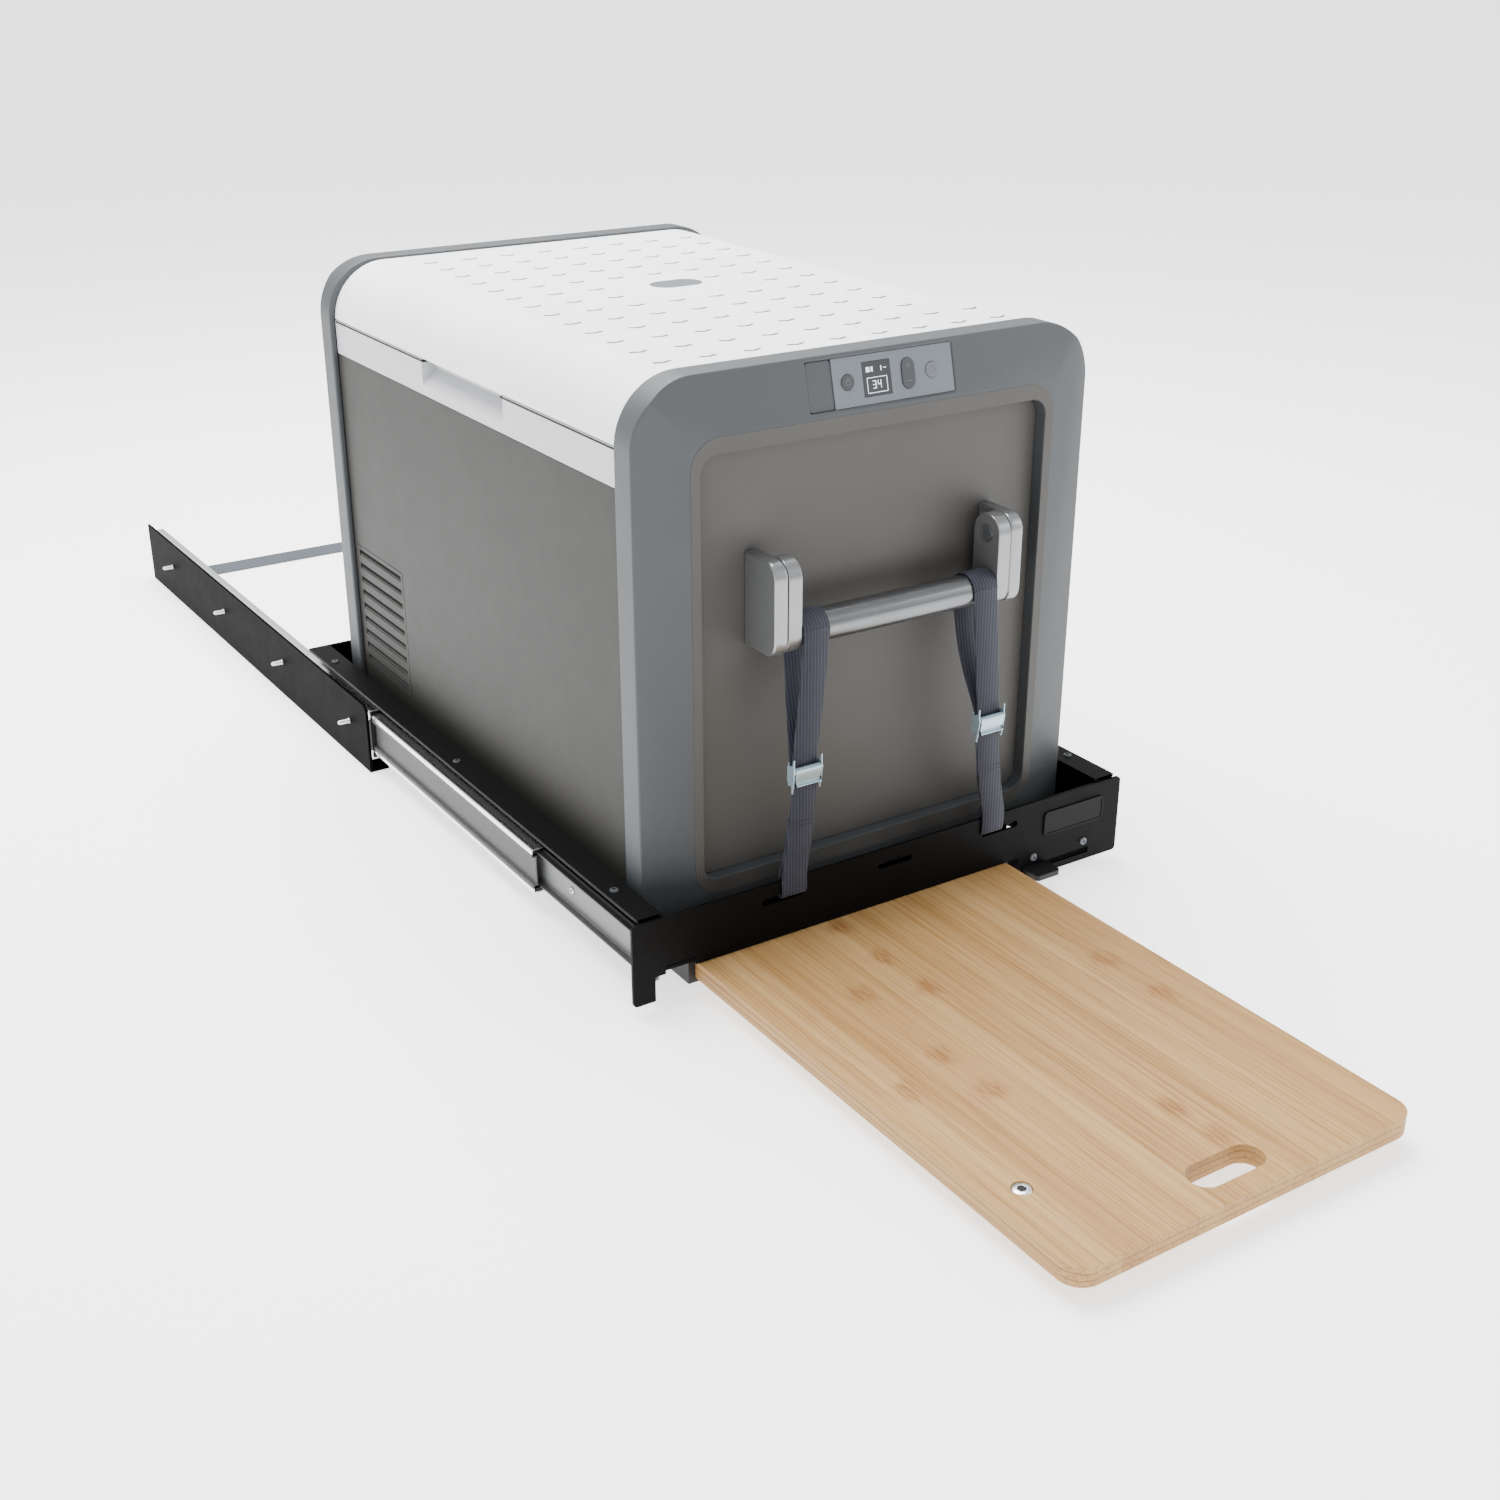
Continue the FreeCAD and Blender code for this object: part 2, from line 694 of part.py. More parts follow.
def slope_pin(name, radius, across, up, out):
    """A cylinder that lies across the slope, between two places along X."""
    solid = doc.addObject("Part::Cylinder", name)
    solid.setExpression("Radius", full(radius))
    solid.setExpression("Height", full(f"({across[1]}) - ({across[0]})"))
    return on_slope(solid, across[0], up, out, TURNS["x"])


def on_slope(solid, across, up, out, turn=None):
    """Place a solid whose own corner lies at a spot given in the slope's frame."""
    solid.Placement = Placement(Vector(), turn or slope_placement().Rotation)
    rise, run = "(end_top - bevel_top)", "(hoop_front - cap_front)"
    slant = f"sqrt({rise}^2 + {run}^2)"
    solid.setExpression("Placement.Base.x", full(across))
    solid.setExpression("Placement.Base.y", full(
        f"face_y + cap_front + (({up}) * {run} - ({out}) * {rise}) / {slant}"))
    solid.setExpression("Placement.Base.z", full(f"bevel_top + (({up}) * {rise} + ({out}) * {run}) / {slant}"))
    return solid


def make_controls():
    """The control plate in the front frame's slope, with its screen, two buttons and a rocker."""
    middle = "module_low + module_tall / 2"
    tall = ("module_low + gap", "module_low + module_tall - gap")
    floor = "-module_deep"
    plate = slope_block("ControlBlock", ("plate_left", "module_right - gap"), tall,
                        (floor, f"{floor} + plate_thick"))
    cuts = []
    for x in ("power_x", "enter_x"):
        cuts.append(slope_rod("ButtonHole", "button_radius + gap", x, middle, (floor, 0)))
    rocker = [slope_rod("RockerHoleEnd", "button_radius + gap", "rocker_x", f"{middle} {sign} 6", (floor, 0))
              for sign in "-+"]
    rocker.append(slope_block("RockerHoleMiddle",
                              ("rocker_x - button_radius - gap", "rocker_x + button_radius + gap"),
                              (f"{middle} - 6", f"{middle} + 6"), (floor, 0)))
    cuts.append(joined("RockerHole", *rocker))
    pin_span = ("rocker_x - button_radius - 1.5", "rocker_x + button_radius + 1.5")
    cuts.append(slope_pin("RockerBore", "rocker_pin + running", pin_span, middle, "rocker_pin_out"))
    cuts.append(slope_block("ScreenHole", ("screen_left", "screen_right"),
                            (f"{middle} - 14", f"{middle} + 14"),
                            ("-module_deep - 1", 0)))
    keep("control_plate", less("ControlPlate", plate, *cuts))
    keep("display_window", slope_block("Screen", ("screen_left + gap", "screen_right - gap"),
                                       (f"{middle} - 14 + gap", f"{middle} + 14 - gap"), (floor, "-1.2")))
    out = (f"{floor} + 1.3", "0")
    keep("power_button", slope_rod("PowerButton", "button_radius", "power_x", middle, out))
    keep("enter_button", slope_rod("EnterButton", "button_radius", "enter_x", middle, out))
    pill = [slope_rod("RockerEnd", "button_radius", "rocker_x", f"{middle} {sign} 6", out) for sign in "-+"]
    pill.append(slope_block("RockerMiddle", ("rocker_x - button_radius", "rocker_x + button_radius"),
                            (f"{middle} - 6", f"{middle} + 6"), out))
    pill.append(slope_pin("RockerPin", "rocker_pin", pin_span, middle, "rocker_pin_out"))
    keep("set_rocker", joined("Rocker", *pill))


def make_body():
    """The outer shell, chassis, feet, collar band and vents between the two end frames."""
    front, back = "hoop_back", "2 * middle_y - hoop_back"
    base = "end_low + chassis"
    outside = block("ShellOut", ("-side_half", "side_half"), (front, back), (base, "band_low"))
    inside = block("ShellIn", ("-(side_half - wall)", "side_half - wall"),
                   (f"{front} + wall", f"{back} - wall"),
                   (base + " - 1", "band_low + 1"))
    opening = block("VentOpening", ("-side_half - 1", "side_half + 1"), ("vent_front", "vent_back"),
                    ("vent_low", "vent_top"))
    keep("body_shell", less("BodyShell", outside, inside, opening))
    keep("chassis_plate", block("Chassis", ("-side_half", "side_half"), (front, back), ("end_low", base)))
    feet = [rod("Foot", "z", "foot_radius", (x, y), ("tray_low + sheet", "end_low"))
            for x in ("-foot_x", "foot_x") for y in ("middle_y - 250", "middle_y + 250")]
    keep("rubber_feet", group("Feet", *feet))

    ring = block("BandOut", ("-side_half", "side_half"), (front, back), ("band_low", "band_top"))
    hole = block("BandIn", ("-band_half", "band_half"), (f"{front} + band_end", f"{back} - band_end"),
                 ("band_low - 1", "band_top + 1"))
    scoop = doc.addObject("Part::Wedge", "Scoop")
    deep = "side_half - scoop_deep"
    for field, text in (("Ymin", "-(side_half + 1)"), ("Ymax", f"-({deep})"), ("Xmin", 0), ("X2min", 0),
                        ("Xmax", "scoop_back - scoop_front"), ("X2max", "scoop_back - scoop_front"),
                        ("Zmin", "scoop_low - 1"), ("Z2min", "scoop_low + scoop_deep"),
                        ("Zmax", "band_top + 1"), ("Z2max", "band_top + 1")):
        scoop.setExpression(field, full(text))
    scoop.Placement = Placement(Vector(), Rotation(Vector(0, 0, 1), -90))
    put(scoop, 0, "scoop_back", 0)
    keep("collar_band", less("CollarBand", ring, hole, scoop))

    frame_in = "side_half - wall"
    outer = block("GrilleOut", ("-side_half", f"-({frame_in})"), ("vent_front + gap", "vent_back - gap"),
                  ("vent_low + gap", "vent_top - gap"))
    pitch = "(vent_top - vent_low) / louvres"
    gaps = [block("LouvreGap", ("-side_half - 1", f"-({frame_in}) + 1"), ("vent_front + 5", "vent_back - 5"),
                  (f"vent_low + {pitch} * {step} + 4", f"vent_low + {pitch} * {step} + 10"))
            for step in range(SIZES["louvres"])]
    left = less("GrilleLeft", outer, *gaps)
    keep("vent_grilles", group("Grilles", left, other_side("GrilleRight", left)))


def tub_blocks(name, grow, top):
    """The deep tub and the shallow shelf behind it, grown outwards all round but not upwards."""
    deep = block(name + "Deep", (f"-(tub_half + {grow})", f"tub_half + {grow}"),
                 (f"tub_front - {grow}", f"tub_back + {grow}"), (f"tub_low - {grow}", top))
    shelf = block(name + "Shelf", (f"-(tub_half + {grow})", f"tub_half + {grow}"),
                  ("tub_back - 1", f"shelf_back + {grow}"), (f"shelf_low - {grow}", top))
    return joined(name, deep, shelf)


def make_inside():
    """The food tub, cold plate, foam and basket."""
    rim = block("Rim", ("-(band_half - gap)", "band_half - gap"),
                ("hoop_back + band_end + gap", "2 * middle_y - hoop_back - band_end - gap"),
                ("band_top - 3", "band_top"))
    skin = joined("LinerSolid", tub_blocks("LinerOut", "liner", "band_top - 1"), rim)
    keep("food_tub", less("FoodTub", skin, tub_blocks("LinerIn", "0", "band_top + 1")))

    sleeve = []
    for name, grow in (("ColdOuter", "(liner + gap + cold_thick)"), ("ColdInner", "(liner + gap)")):
        across = (f"-(tub_half + {grow})", f"tub_half + {grow}")
        sleeve.append(block(name, across, (f"tub_front - {grow}", f"tub_back + {grow}"),
                            ("cold_low", "cold_top")))
    keep("evaporator_plate", less("Evaporator", *sleeve))

    front, back = "hoop_back + wall + gap", "2 * middle_y - hoop_back - wall - gap"
    half, foam_top = "side_half - wall - gap", "band_low - gap"
    lower = block("FoamLow", (f"-({half})", half), (front, "foam_back"),
                  ("end_low + chassis + gap", foam_top))
    upper = block("FoamHigh", (f"-({half})", half), ("foam_back - 1", back), ("foam_shelf", foam_top))
    cavity = tub_blocks("FoamCavity", "(liner + 2 * gap + cold_thick)", "band_top")
    keep("insulation_foam", less("Foam", joined("FoamSolid", lower, upper), cavity))

    spots_x = [f"-tub_half + 8 + {step} * (2 * tub_half - 16 - wire) / 6" for step in range(7)]
    spots_y = [f"tub_front + 8 + {step} * (tub_back - tub_front - 16 - wire) / 6" for step in range(7)]
    width, depth = (spots_x[0], f"{spots_x[6]} + wire"), (spots_y[0], f"{spots_y[6]} + wire")
    low, high = "tub_low + 5", "tub_low + 215"
    wires = [block("FloorWireX", width, (y, f"{y} + wire"), (low, f"{low} + wire")) for y in spots_y]
    wires += [block("FloorWireY", (x, f"{x} + wire"), depth, (low, f"{low} + wire")) for x in spots_x]
    for level in (f"{low} + 100", high):
        for y in (spots_y[0], spots_y[6]):
            wires.append(block("RimWireX", width, (y, f"{y} + wire"), (level, f"{level} + wire")))
        for x in (spots_x[0], spots_x[6]):
            wires.append(block("RimWireY", (x, f"{x} + wire"), depth, (level, f"{level} + wire")))
    for number in range(7):
        for x, y in ((spots_x[number], spots_y[0]), (spots_x[number], spots_y[6]),
                     (spots_x[0], spots_y[number]), (spots_x[6], spots_y[number])):
            wires.append(block("UprightWire", (x, f"{x} + wire"), (y, f"{y} + wire"),
                               (low, f"{high} + wire")))
    keep("wire_basket", joined("Basket", *wires))


def make_cooling():
    """The compressor, condenser, fan and circuit board in the bay behind the tub."""
    floor = "end_low + chassis"
    can = rod("CompressorCan", "z", "motor_radius", ("motor_x", "motor_y"), (f"{floor} + 6", "motor_top"))
    doc.recompute()
    dome = doc.addObject("Part::Fillet", "CompressorDome")
    dome.Base = can
    rims = [number for number, edge in enumerate(can.Shape.Edges, start=1)
            if edge.CenterOfMass.z > SIZES["motor_top"] - 1 and len(edge.Vertexes) == 1]
    dome.Edges = [(number, 22, 22) for number in rims]
    foot = block("CompressorFoot", ("motor_x - 55", "motor_x + 55"), ("motor_y - 55", "motor_y + 55"),
                 (floor, f"{floor} + 6"))
    port = rod("CompressorPort", "x", 4, ("motor_y", "motor_top - 45"),
               ("motor_x + motor_radius - 4", "motor_x + 75"))
    keep("compressor", joined("Compressor", dome, foot, port))

    across, along, up = ("coil_left", "coil_right"), ("coil_front", "coil_back"), ("coil_low", "coil_top")
    fins = [block("Fin", across, (f"coil_front + {step} * (coil_back - coil_front - 1) / 14",
                                  f"coil_front + {step} * (coil_back - coil_front - 1) / 14 + 1"), up)
            for step in range(15)]
    tubes = [rod("CoilTube", "y", 3.5, (x, f"coil_low + 15 + {step} * 26.5"), along)
             for x in ("coil_left + 12", "coil_left + 28") for step in range(4)]
    stand = block("CoilStand", across, along, (floor, "coil_low"))
    keep("condenser", joined("Condenser", *fins, *tubes, stand))

    ring = block("ShroudBlock", ("shroud_left", "shroud_right"), along, (floor, "coil_top"))
    bore = rod("ShroudBore", "x", "fan_radius + 3", ("fan_y", "fan_z"),
               ("shroud_left - 1", "shroud_right + 1"))
    spokes = [block("SpokeFlat", ("shroud_right - 4", "shroud_right"), along, ("fan_z - 4", "fan_z + 4")),
              block("SpokeTall", ("shroud_right - 4", "shroud_right"), ("fan_y - 4", "fan_y + 4"),
                    ("coil_low", "coil_top"))]
    shaft = rod("FanShaft", "x", 2, ("fan_y", "fan_z"), ("shroud_left + 4", "shroud_right"))
    keep("fan_housing", joined("FanHousing", less("ShroudRing", ring, bore), *spokes, shaft))
    hub = rod("FanHub", "x", "fan_hub", ("fan_y", "fan_z"), ("shroud_left + 4", "shroud_right - 6"))
    blades = []
    for step in range(7):
        turn = Rotation(Vector(1, 0, 0), step * 360 / 7)
        pitch = Rotation(Vector(0, 0, 1), 35)
        blade = doc.addObject("Part::Box", "Blade")
        blade.Length = 16
        blade.Width = 2
        blade.setExpression("Height", full("fan_radius - fan_hub + 3"))
        blade.Placement = Placement(Vector(), turn.multiply(pitch))
        corner = turn.multVec(Vector(0, 0, SIZES["fan_hub"] - 3))
        put(blade, "shroud_left + 5", f"fan_y + ({corner.y:.3f})", f"fan_z + ({corner.z:.3f})")
        blades.append(blade)
    bore = rod("HubBore", "x", "2 + running", ("fan_y", "fan_z"), ("shroud_left", "shroud_right"))
    keep("fan_rotor", less("FanRotor", joined("FanWheel", hub, *blades), bore))

    card = block("CardPlate", ("card_left", "card_left + 160"), ("coil_front", "coil_back"),
                 ("card_low", "card_low + 2"))
    chips = [block("CardChip", (f"card_left + {step}", f"card_left + {step} + 24"),
                   ("coil_front + 20", "coil_front + 60"), ("card_low + 2", "card_low + 16"))
             for step in (15, 55, 95)]
    keep("control_board", joined("ControlBoard", card, *chips))

    bay = "2 * middle_y - hoop_front"
    socket = block("SocketBody", ("socket_left", "socket_left + 70"), (bay, f"{bay} + 9"),
                   ("socket_low", "socket_low + 30"))
    wells = [block("SocketWell", (f"socket_left + {step}", f"socket_left + {step} + 26"),
                   (f"{bay} + 1", f"{bay} + 10"), ("socket_low + 5", "socket_low + 25")) for step in (5, 39)]
    keep("power_sockets", less("PowerSockets", socket, *wells))


def make_lid():
    """The lid with its inner pan, seal, latch and hinge."""
    front, back = "hoop_back + play", "2 * middle_y - hoop_back - play"
    half = "end_half - lid_inset"
    bulk = arched("LidBulk", half, (front, back), "lid_low", "lid_top")
    core = arched("LidCore", f"{half} - lid_wall", (f"{front} + lid_wall", f"{back} - lid_wall"),
                  "lid_low - 10", "lid_top - lid_wall")
    tabs, holes = [], []
    for sign in "-+":
        middle = f"middle_y {sign} hinge_y"
        span = (f"{middle} - knuckle_long / 2", f"{middle} + knuckle_long / 2")
        tabs.append(rod("LidKnuckle", "y", "knuckle", ("hinge_x", "hinge_z"), span))
        tabs.append(block("LidTab", ("side_half - 1", "hinge_x"), span, ("hinge_z", "hinge_z + knuckle")))
        holes.append(rod("KnuckleBore", "y", "hinge_pin + running", ("hinge_x", "hinge_z"), span))
    keep("lid_shell", less("LidShell", joined("LidSolid", less("LidHollow", bulk, core), *tabs), *holes))

    edge = f"{half} - lid_wall - 3 * play"
    along = (f"{front} + lid_wall + gap", f"{back} - lid_wall - gap")
    keep("lid_inner_pan", block("LidPan", (f"-({edge})", edge), along, ("lid_pan", "lid_pan + wall")))
    seal_y = ("hoop_back + band_end + 6", "2 * middle_y - hoop_back - band_end - 6")
    seal_z = ("band_top + gap", "lid_pan")
    seal = block("SealOut", ("-seal_half", "seal_half"), seal_y, seal_z)
    hole = block("SealIn", ("-(seal_half - seal_wide)", "seal_half - seal_wide"),
                 (f"{seal_y[0]} + seal_wide", f"{seal_y[1]} - seal_wide"), ("band_top", "lid_pan + 1"))
    keep("lid_seal", less("Seal", seal, hole))

    inner = "side_half - scoop_deep"
    plate = block("LatchPlate", (f"-({inner} + 3)", f"-({inner} + gap)"),
                  ("scoop_front + 2", "scoop_back - 2"),
                  ("scoop_low + scoop_deep + 3", "lid_low + 4"))
    pin = rod("LatchPin", "y", 2, (f"-({inner} + 2)", "lid_low + 2"), ("scoop_front + 6", "scoop_back - 6"))
    keep("lid_latch", joined("Latch", plate, pin))

    leaves, pins = [], []
    for sign in "-+":
        middle = f"middle_y {sign} hinge_y"
        reach = "(knuckle_long / 2 + gap)"
        for low, high in ((f"{middle} - {reach} - 14", f"{middle} - {reach}"),
                          (f"{middle} + {reach}", f"{middle} + {reach} + 14")):
            ring = rod("BodyKnuckle", "y", "knuckle", ("hinge_x", "hinge_z"), (low, high))
            leaf = block("HingeLeaf", ("side_half", "side_half + 1.6"), (low, high),
                         ("band_low + 8", "hinge_z - 1"))
            hole = rod("BodyKnuckleBore", "y", "hinge_pin", ("hinge_x", "hinge_z"), (low, high))
            leaves.append(less("HingeKnuckle", joined("LeafAndKnuckle", ring, leaf), hole))
        pins.append(rod("HingePin", "y", "hinge_pin", ("hinge_x", "hinge_z"),
                        (f"{middle} - {reach} - 14", f"{middle} + {reach} + 14")))
    keep("hinge_leaves", group("HingeLeaves", *leaves))
    keep("hinge_pins", group("HingePins", *pins))


# ---------------------------------------------------------------- handles and straps

def make_handles():
    """Fold-down carrying handles, one on each end: cheeks, swinging arms, tube and pivot bolts."""
    arm_y = "arm_front + arm_half"
    low = "tube_high - arm_half"
    high = "pivot_high + arm_half"

    whole = block("CheekBlock", ("cheek_in + gap", "cheek_out"), ("arm_front", "hoop_front"), (low, high))
    front = SIZES["face_y"] + SIZES["arm_front"] + 1
    cheek = rounded("Cheek", whole, "recess_round", "x", lambda middle: middle.y < front)
    across = ("arm_in", "cheek_in")
    bar = block("ArmBlock", across, ("arm_front", "arm_front + 2 * arm_half"), ("tube_high", "pivot_high"))
    ends = [rod("ArmEnd", "x", "arm_half", (arm_y, z), across) for z in ("tube_high", "pivot_high")]
    bore = rod("ArmBore", "x", "pivot_radius + running", (arm_y, "pivot_high"), across)
    arm = less("Arm", joined("ArmSolid", bar, *ends), bore)
    bolt = rod("Pivot", "x", "pivot_radius", (arm_y, "pivot_high"), ("arm_in - gap", "cheek_in + gap"))
    cheeks, arms, bolts = ([piece, other_side(piece.Name + "Left", piece)] for piece in (cheek, arm, bolt))
    tube = rod("TubeOut", "x", "tube_radius", ("tube_y", "tube_high"), ("-arm_in", "arm_in"))
    hole = rod("TubeIn", "x", "tube_radius - 3", ("tube_y", "tube_high"), ("-arm_in", "arm_in"))
    tube = less("FrontTube", tube, hole)
    keep("handle_tube_front", tube)
    keep("handle_tube_rear", other_end("RearTube", tube))
    arms = keep("handle_arms_front", group("FrontArms", *arms))
    keep("handle_arms_rear", other_end("RearArms", arms))
    cheeks += [other_end("RearCheek", cheek) for cheek in cheeks]
    keep("handle_cheeks", group("Cheeks", *cheeks))
    bolts += [other_end("RearPivot", bolt) for bolt in bolts]
    keep("handle_pivots", group("Pivots", *bolts))


def make_straps():
    """Two webbing straps from the front handle through cam buckles to the front panel's slots."""
    loop_x = ("loop_x - strap_wide / 2", "loop_x + strap_wide / 2")
    across = ("strap_x - strap_wide / 2", "strap_x + strap_wide / 2")
    loop = rod("StrapLoop", "x", "tube_radius + gap + strap_thick", ("tube_y", "tube_high"), loop_x)
    hole = rod("StrapLoopHole", "x", "tube_radius + gap", ("tube_y", "tube_high"), loop_x)
    run = block("StrapRun", across, ("-(gap + strap_thick)", "-gap"), ("slot_high", "tube_high"))
    strap = joined("StrapRight", less("StrapRing", loop, hole), run)
    keep("tie_down_straps", group("Straps", strap, other_side("StrapLeft", strap)))

    flank = (f"{across[0]} - gap", f"{across[1]} + gap")
    back = block("BuckleBack", (f"{flank[0]} - buckle_side", f"{flank[1]} + buckle_side"),
                 ("gap", "gap + 1.5"),
                 ("buckle_low + 4", "buckle_top - 4"))
    cheeks = [block("BuckleCheek", span, ("cam_y - 4", "gap + 1.5"), ("buckle_low", "buckle_top"))
              for span in ((f"{flank[0]} - buckle_side", flank[0]), (flank[1], f"{flank[1]} + buckle_side"))]
    pin = rod("CamPin", "x", "cam_pin", ("cam_y", "cam_high"), flank)
    frame = joined("BuckleFrame", back, *cheeks, pin)
    keep("buckle_frames", group("BuckleFrames", frame, other_side("BuckleFrameLeft", frame)))
    inner = (f"{flank[0]} + gap", f"{flank[1]} - gap")
    barrel = rod("CamBarrel", "x", "cam_pin + 1", ("cam_y", "cam_high"), inner)
    lever = block("CamLever", inner, ("cam_y - 1.2", "cam_y + 1.2"), ("cam_low", "cam_high"))
    bore = rod("CamBore", "x", "cam_pin + running", ("cam_y", "cam_high"), inner)
    cam = keep("cam_lever_right", less("CamRight", joined("CamSolid", barrel, lever), bore))
    keep("cam_lever_left", other_side("CamLeft", cam))


# ---------------------------------------------------------------- build, check and write

make_base()
make_middle_rails()
make_tray()
make_board()
make_ends()
make_controls()
make_body()
make_inside()
make_cooling()
make_lid()
make_handles()
make_straps()
doc.recompute()

faults = [f"{item.Name}: {item.State}" for item in doc.Objects if {"Invalid", "Error"} & set(item.State)]
faults += [f"{item.Label}: bad shape" for item in nodes if item.Shape.isNull() or not item.Shape.isValid()]
if faults:
    raise SystemExit("\n".join(faults))
os.makedirs("parts", exist_ok=True)
for item in nodes:
    item.Shape.exportStep(f"parts/{item.Label}.step")
print(len(nodes), "sub-parts written")
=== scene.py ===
import json
import math

import bmesh
import bpy
from mathutils import Euler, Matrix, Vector


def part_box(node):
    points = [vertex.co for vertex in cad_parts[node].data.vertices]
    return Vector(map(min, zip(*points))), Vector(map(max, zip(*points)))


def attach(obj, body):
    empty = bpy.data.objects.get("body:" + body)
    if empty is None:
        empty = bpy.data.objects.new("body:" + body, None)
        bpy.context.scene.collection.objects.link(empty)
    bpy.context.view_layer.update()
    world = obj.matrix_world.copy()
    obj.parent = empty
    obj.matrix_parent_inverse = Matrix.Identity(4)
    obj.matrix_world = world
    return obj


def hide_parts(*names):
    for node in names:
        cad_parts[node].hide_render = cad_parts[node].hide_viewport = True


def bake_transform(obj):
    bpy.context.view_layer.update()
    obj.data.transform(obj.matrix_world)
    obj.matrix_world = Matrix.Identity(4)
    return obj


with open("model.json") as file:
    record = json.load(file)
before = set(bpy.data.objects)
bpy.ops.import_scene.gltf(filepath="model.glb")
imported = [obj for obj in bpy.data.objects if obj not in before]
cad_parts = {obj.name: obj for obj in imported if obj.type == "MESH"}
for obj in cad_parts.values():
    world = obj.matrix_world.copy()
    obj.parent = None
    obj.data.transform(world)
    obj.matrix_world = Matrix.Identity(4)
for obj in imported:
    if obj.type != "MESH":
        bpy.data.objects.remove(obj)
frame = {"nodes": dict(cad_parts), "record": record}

for spare in ("Cube", "Light", "Camera"):
    if spare in bpy.data.objects:
        bpy.data.objects.remove(bpy.data.objects[spare])
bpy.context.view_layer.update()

# Sizes are in millimetres. Places along Y are measured backwards from the outer face of the tray's front
# panel, as in the CAD model; at() turns a place into metres in the frame.
MM = 0.001
NODES = frame["nodes"]
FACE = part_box("tray_front_panel")[0].y
SLOPE_LOW = (36.0, 462.0)
SLOPE_HIGH = (47.6, 509.6)
RAIL_HIGH = 42.0
CONTROLS_LOW, CONTROLS_TALL, CONTROLS_DEEP = 5.0, 40.0, 4.0
HEXAGON = math.pi / 3


def at(x, y, z):
    return Vector((x * MM, FACE + y * MM, z * MM))


def span(node):
    """A CAD node's lowest and highest corner in millimetres, with Y measured from the front panel."""
    low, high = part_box(node)
    return [Vector((v.x, v.y - FACE, v.z)) / MM for v in (low, high)]


# ---------------------------------------------------------------- materials

class Finish:
    """A procedural material: a Principled shader, fed by textures in the object's own coordinates."""

    def __init__(self, name, colour, rough, metal=0.0, **sockets):
        self.material = bpy.data.materials.new(name)
        self.material.use_nodes = True
        tree = self.material.node_tree
        self.nodes, self.links = tree.nodes, tree.links
        self.shader = self.nodes["Principled BSDF"]
        self.colour = colour
        self.shader.inputs["Base Color"].default_value = (*colour, 1)
        self.shader.inputs["Roughness"].default_value = rough
        self.shader.inputs["Metallic"].default_value = metal
        for socket, value in sockets.items():
            self.shader.inputs[socket.replace("_", " ")].default_value = value
        self.rough = rough
        self.coords = self.nodes.new("ShaderNodeTexCoord").outputs["Object"]
        self.normal = None

    def stretched(self, scale):
        mapping = self.nodes.new("ShaderNodeMapping")
        mapping.inputs["Scale"].default_value = scale
        self.links.new(self.coords, mapping.inputs["Vector"])
        return mapping.outputs["Vector"]

    def noise(self, scale, detail=3.0, spread=0.5):
        """Noise with a size in each direction; scale is in cells per metre along X, Y and Z."""
        texture = self.nodes.new("ShaderNodeTexNoise")
        texture.inputs["Scale"].default_value = 1.0
        texture.inputs["Detail"].default_value = detail
        texture.inputs["Roughness"].default_value = spread
        self.links.new(self.stretched(scale), texture.inputs["Vector"])
        return texture.outputs["Fac"]

    def math(self, operation, *values):
        node = self.nodes.new("ShaderNodeMath")
        node.operation = operation
        for socket, value in zip(node.inputs, values):
            if isinstance(value, (int, float)):
                socket.default_value = value
            else:
                self.links.new(value, socket)
        return node.outputs[0]

    def ramp(self, factor, stops):
        """Colours at places from 0 to 1 along a factor."""
        node = self.nodes.new("ShaderNodeValToRGB")
        elements = node.color_ramp.elements
        while len(elements) < len(stops):
            elements.new(0.5)
        for element, (place, colour) in zip(elements, stops):
            element.position = place
            element.color = (*colour, 1)
        self.links.new(factor, node.inputs["Fac"])
        return node.outputs["Color"]

    def mix(self, factor, first, second, kind="MIX"):
        node = self.nodes.new("ShaderNodeMix")
        node.data_type = "RGBA"
        node.blend_type = kind
        for socket, value in ((node.inputs["Factor"], factor), (node.inputs["A"], first),
                              (node.inputs["B"], second)):
            if isinstance(value, tuple):
                socket.default_value = (*value, 1)
            elif isinstance(value, (int, float)):
                socket.default_value = value
            else:
                self.links.new(value, socket)
        return node.outputs["Result"]

    def tint(self, factor, change):
        """Vary the base colour by a factor, darker and lighter by the given share."""
        dark = tuple(part * (1 - change) for part in self.colour)
        light = tuple(min(1, part * (1 + change)) for part in self.colour)
        self.paint(self.ramp(factor, [(0.3, dark), (0.7, light)]))
        return self

    def paint(self, colour):
        self.links.new(colour, self.shader.inputs["Base Color"])

    def polish(self, factor, change):
        """Vary the roughness by a factor."""
        low = self.math("MULTIPLY", factor, 2 * change)
        self.links.new(self.math("ADD", low, self.rough - change), self.shader.inputs["Roughness"])
        return self

    def bump(self, height, strength, distance):
        node = self.nodes.new("ShaderNodeBump")
        node.inputs["Strength"].default_value = strength
        node.inputs["Distance"].default_value = distance * MM
        self.links.new(height, node.inputs["Height"])
        if self.normal:
            self.links.new(self.normal, node.inputs["Normal"])
        self.normal = node.outputs["Normal"]
        self.links.new(self.normal, self.shader.inputs["Normal"])
        return self

    def axis(self, name):
        node = self.nodes.new("ShaderNodeSeparateXYZ")
        self.links.new(self.coords, node.inputs[0])
        return node.outputs[name]


def even(cells):
    """One noise scale along all three axes."""
    return (cells, cells, cells)


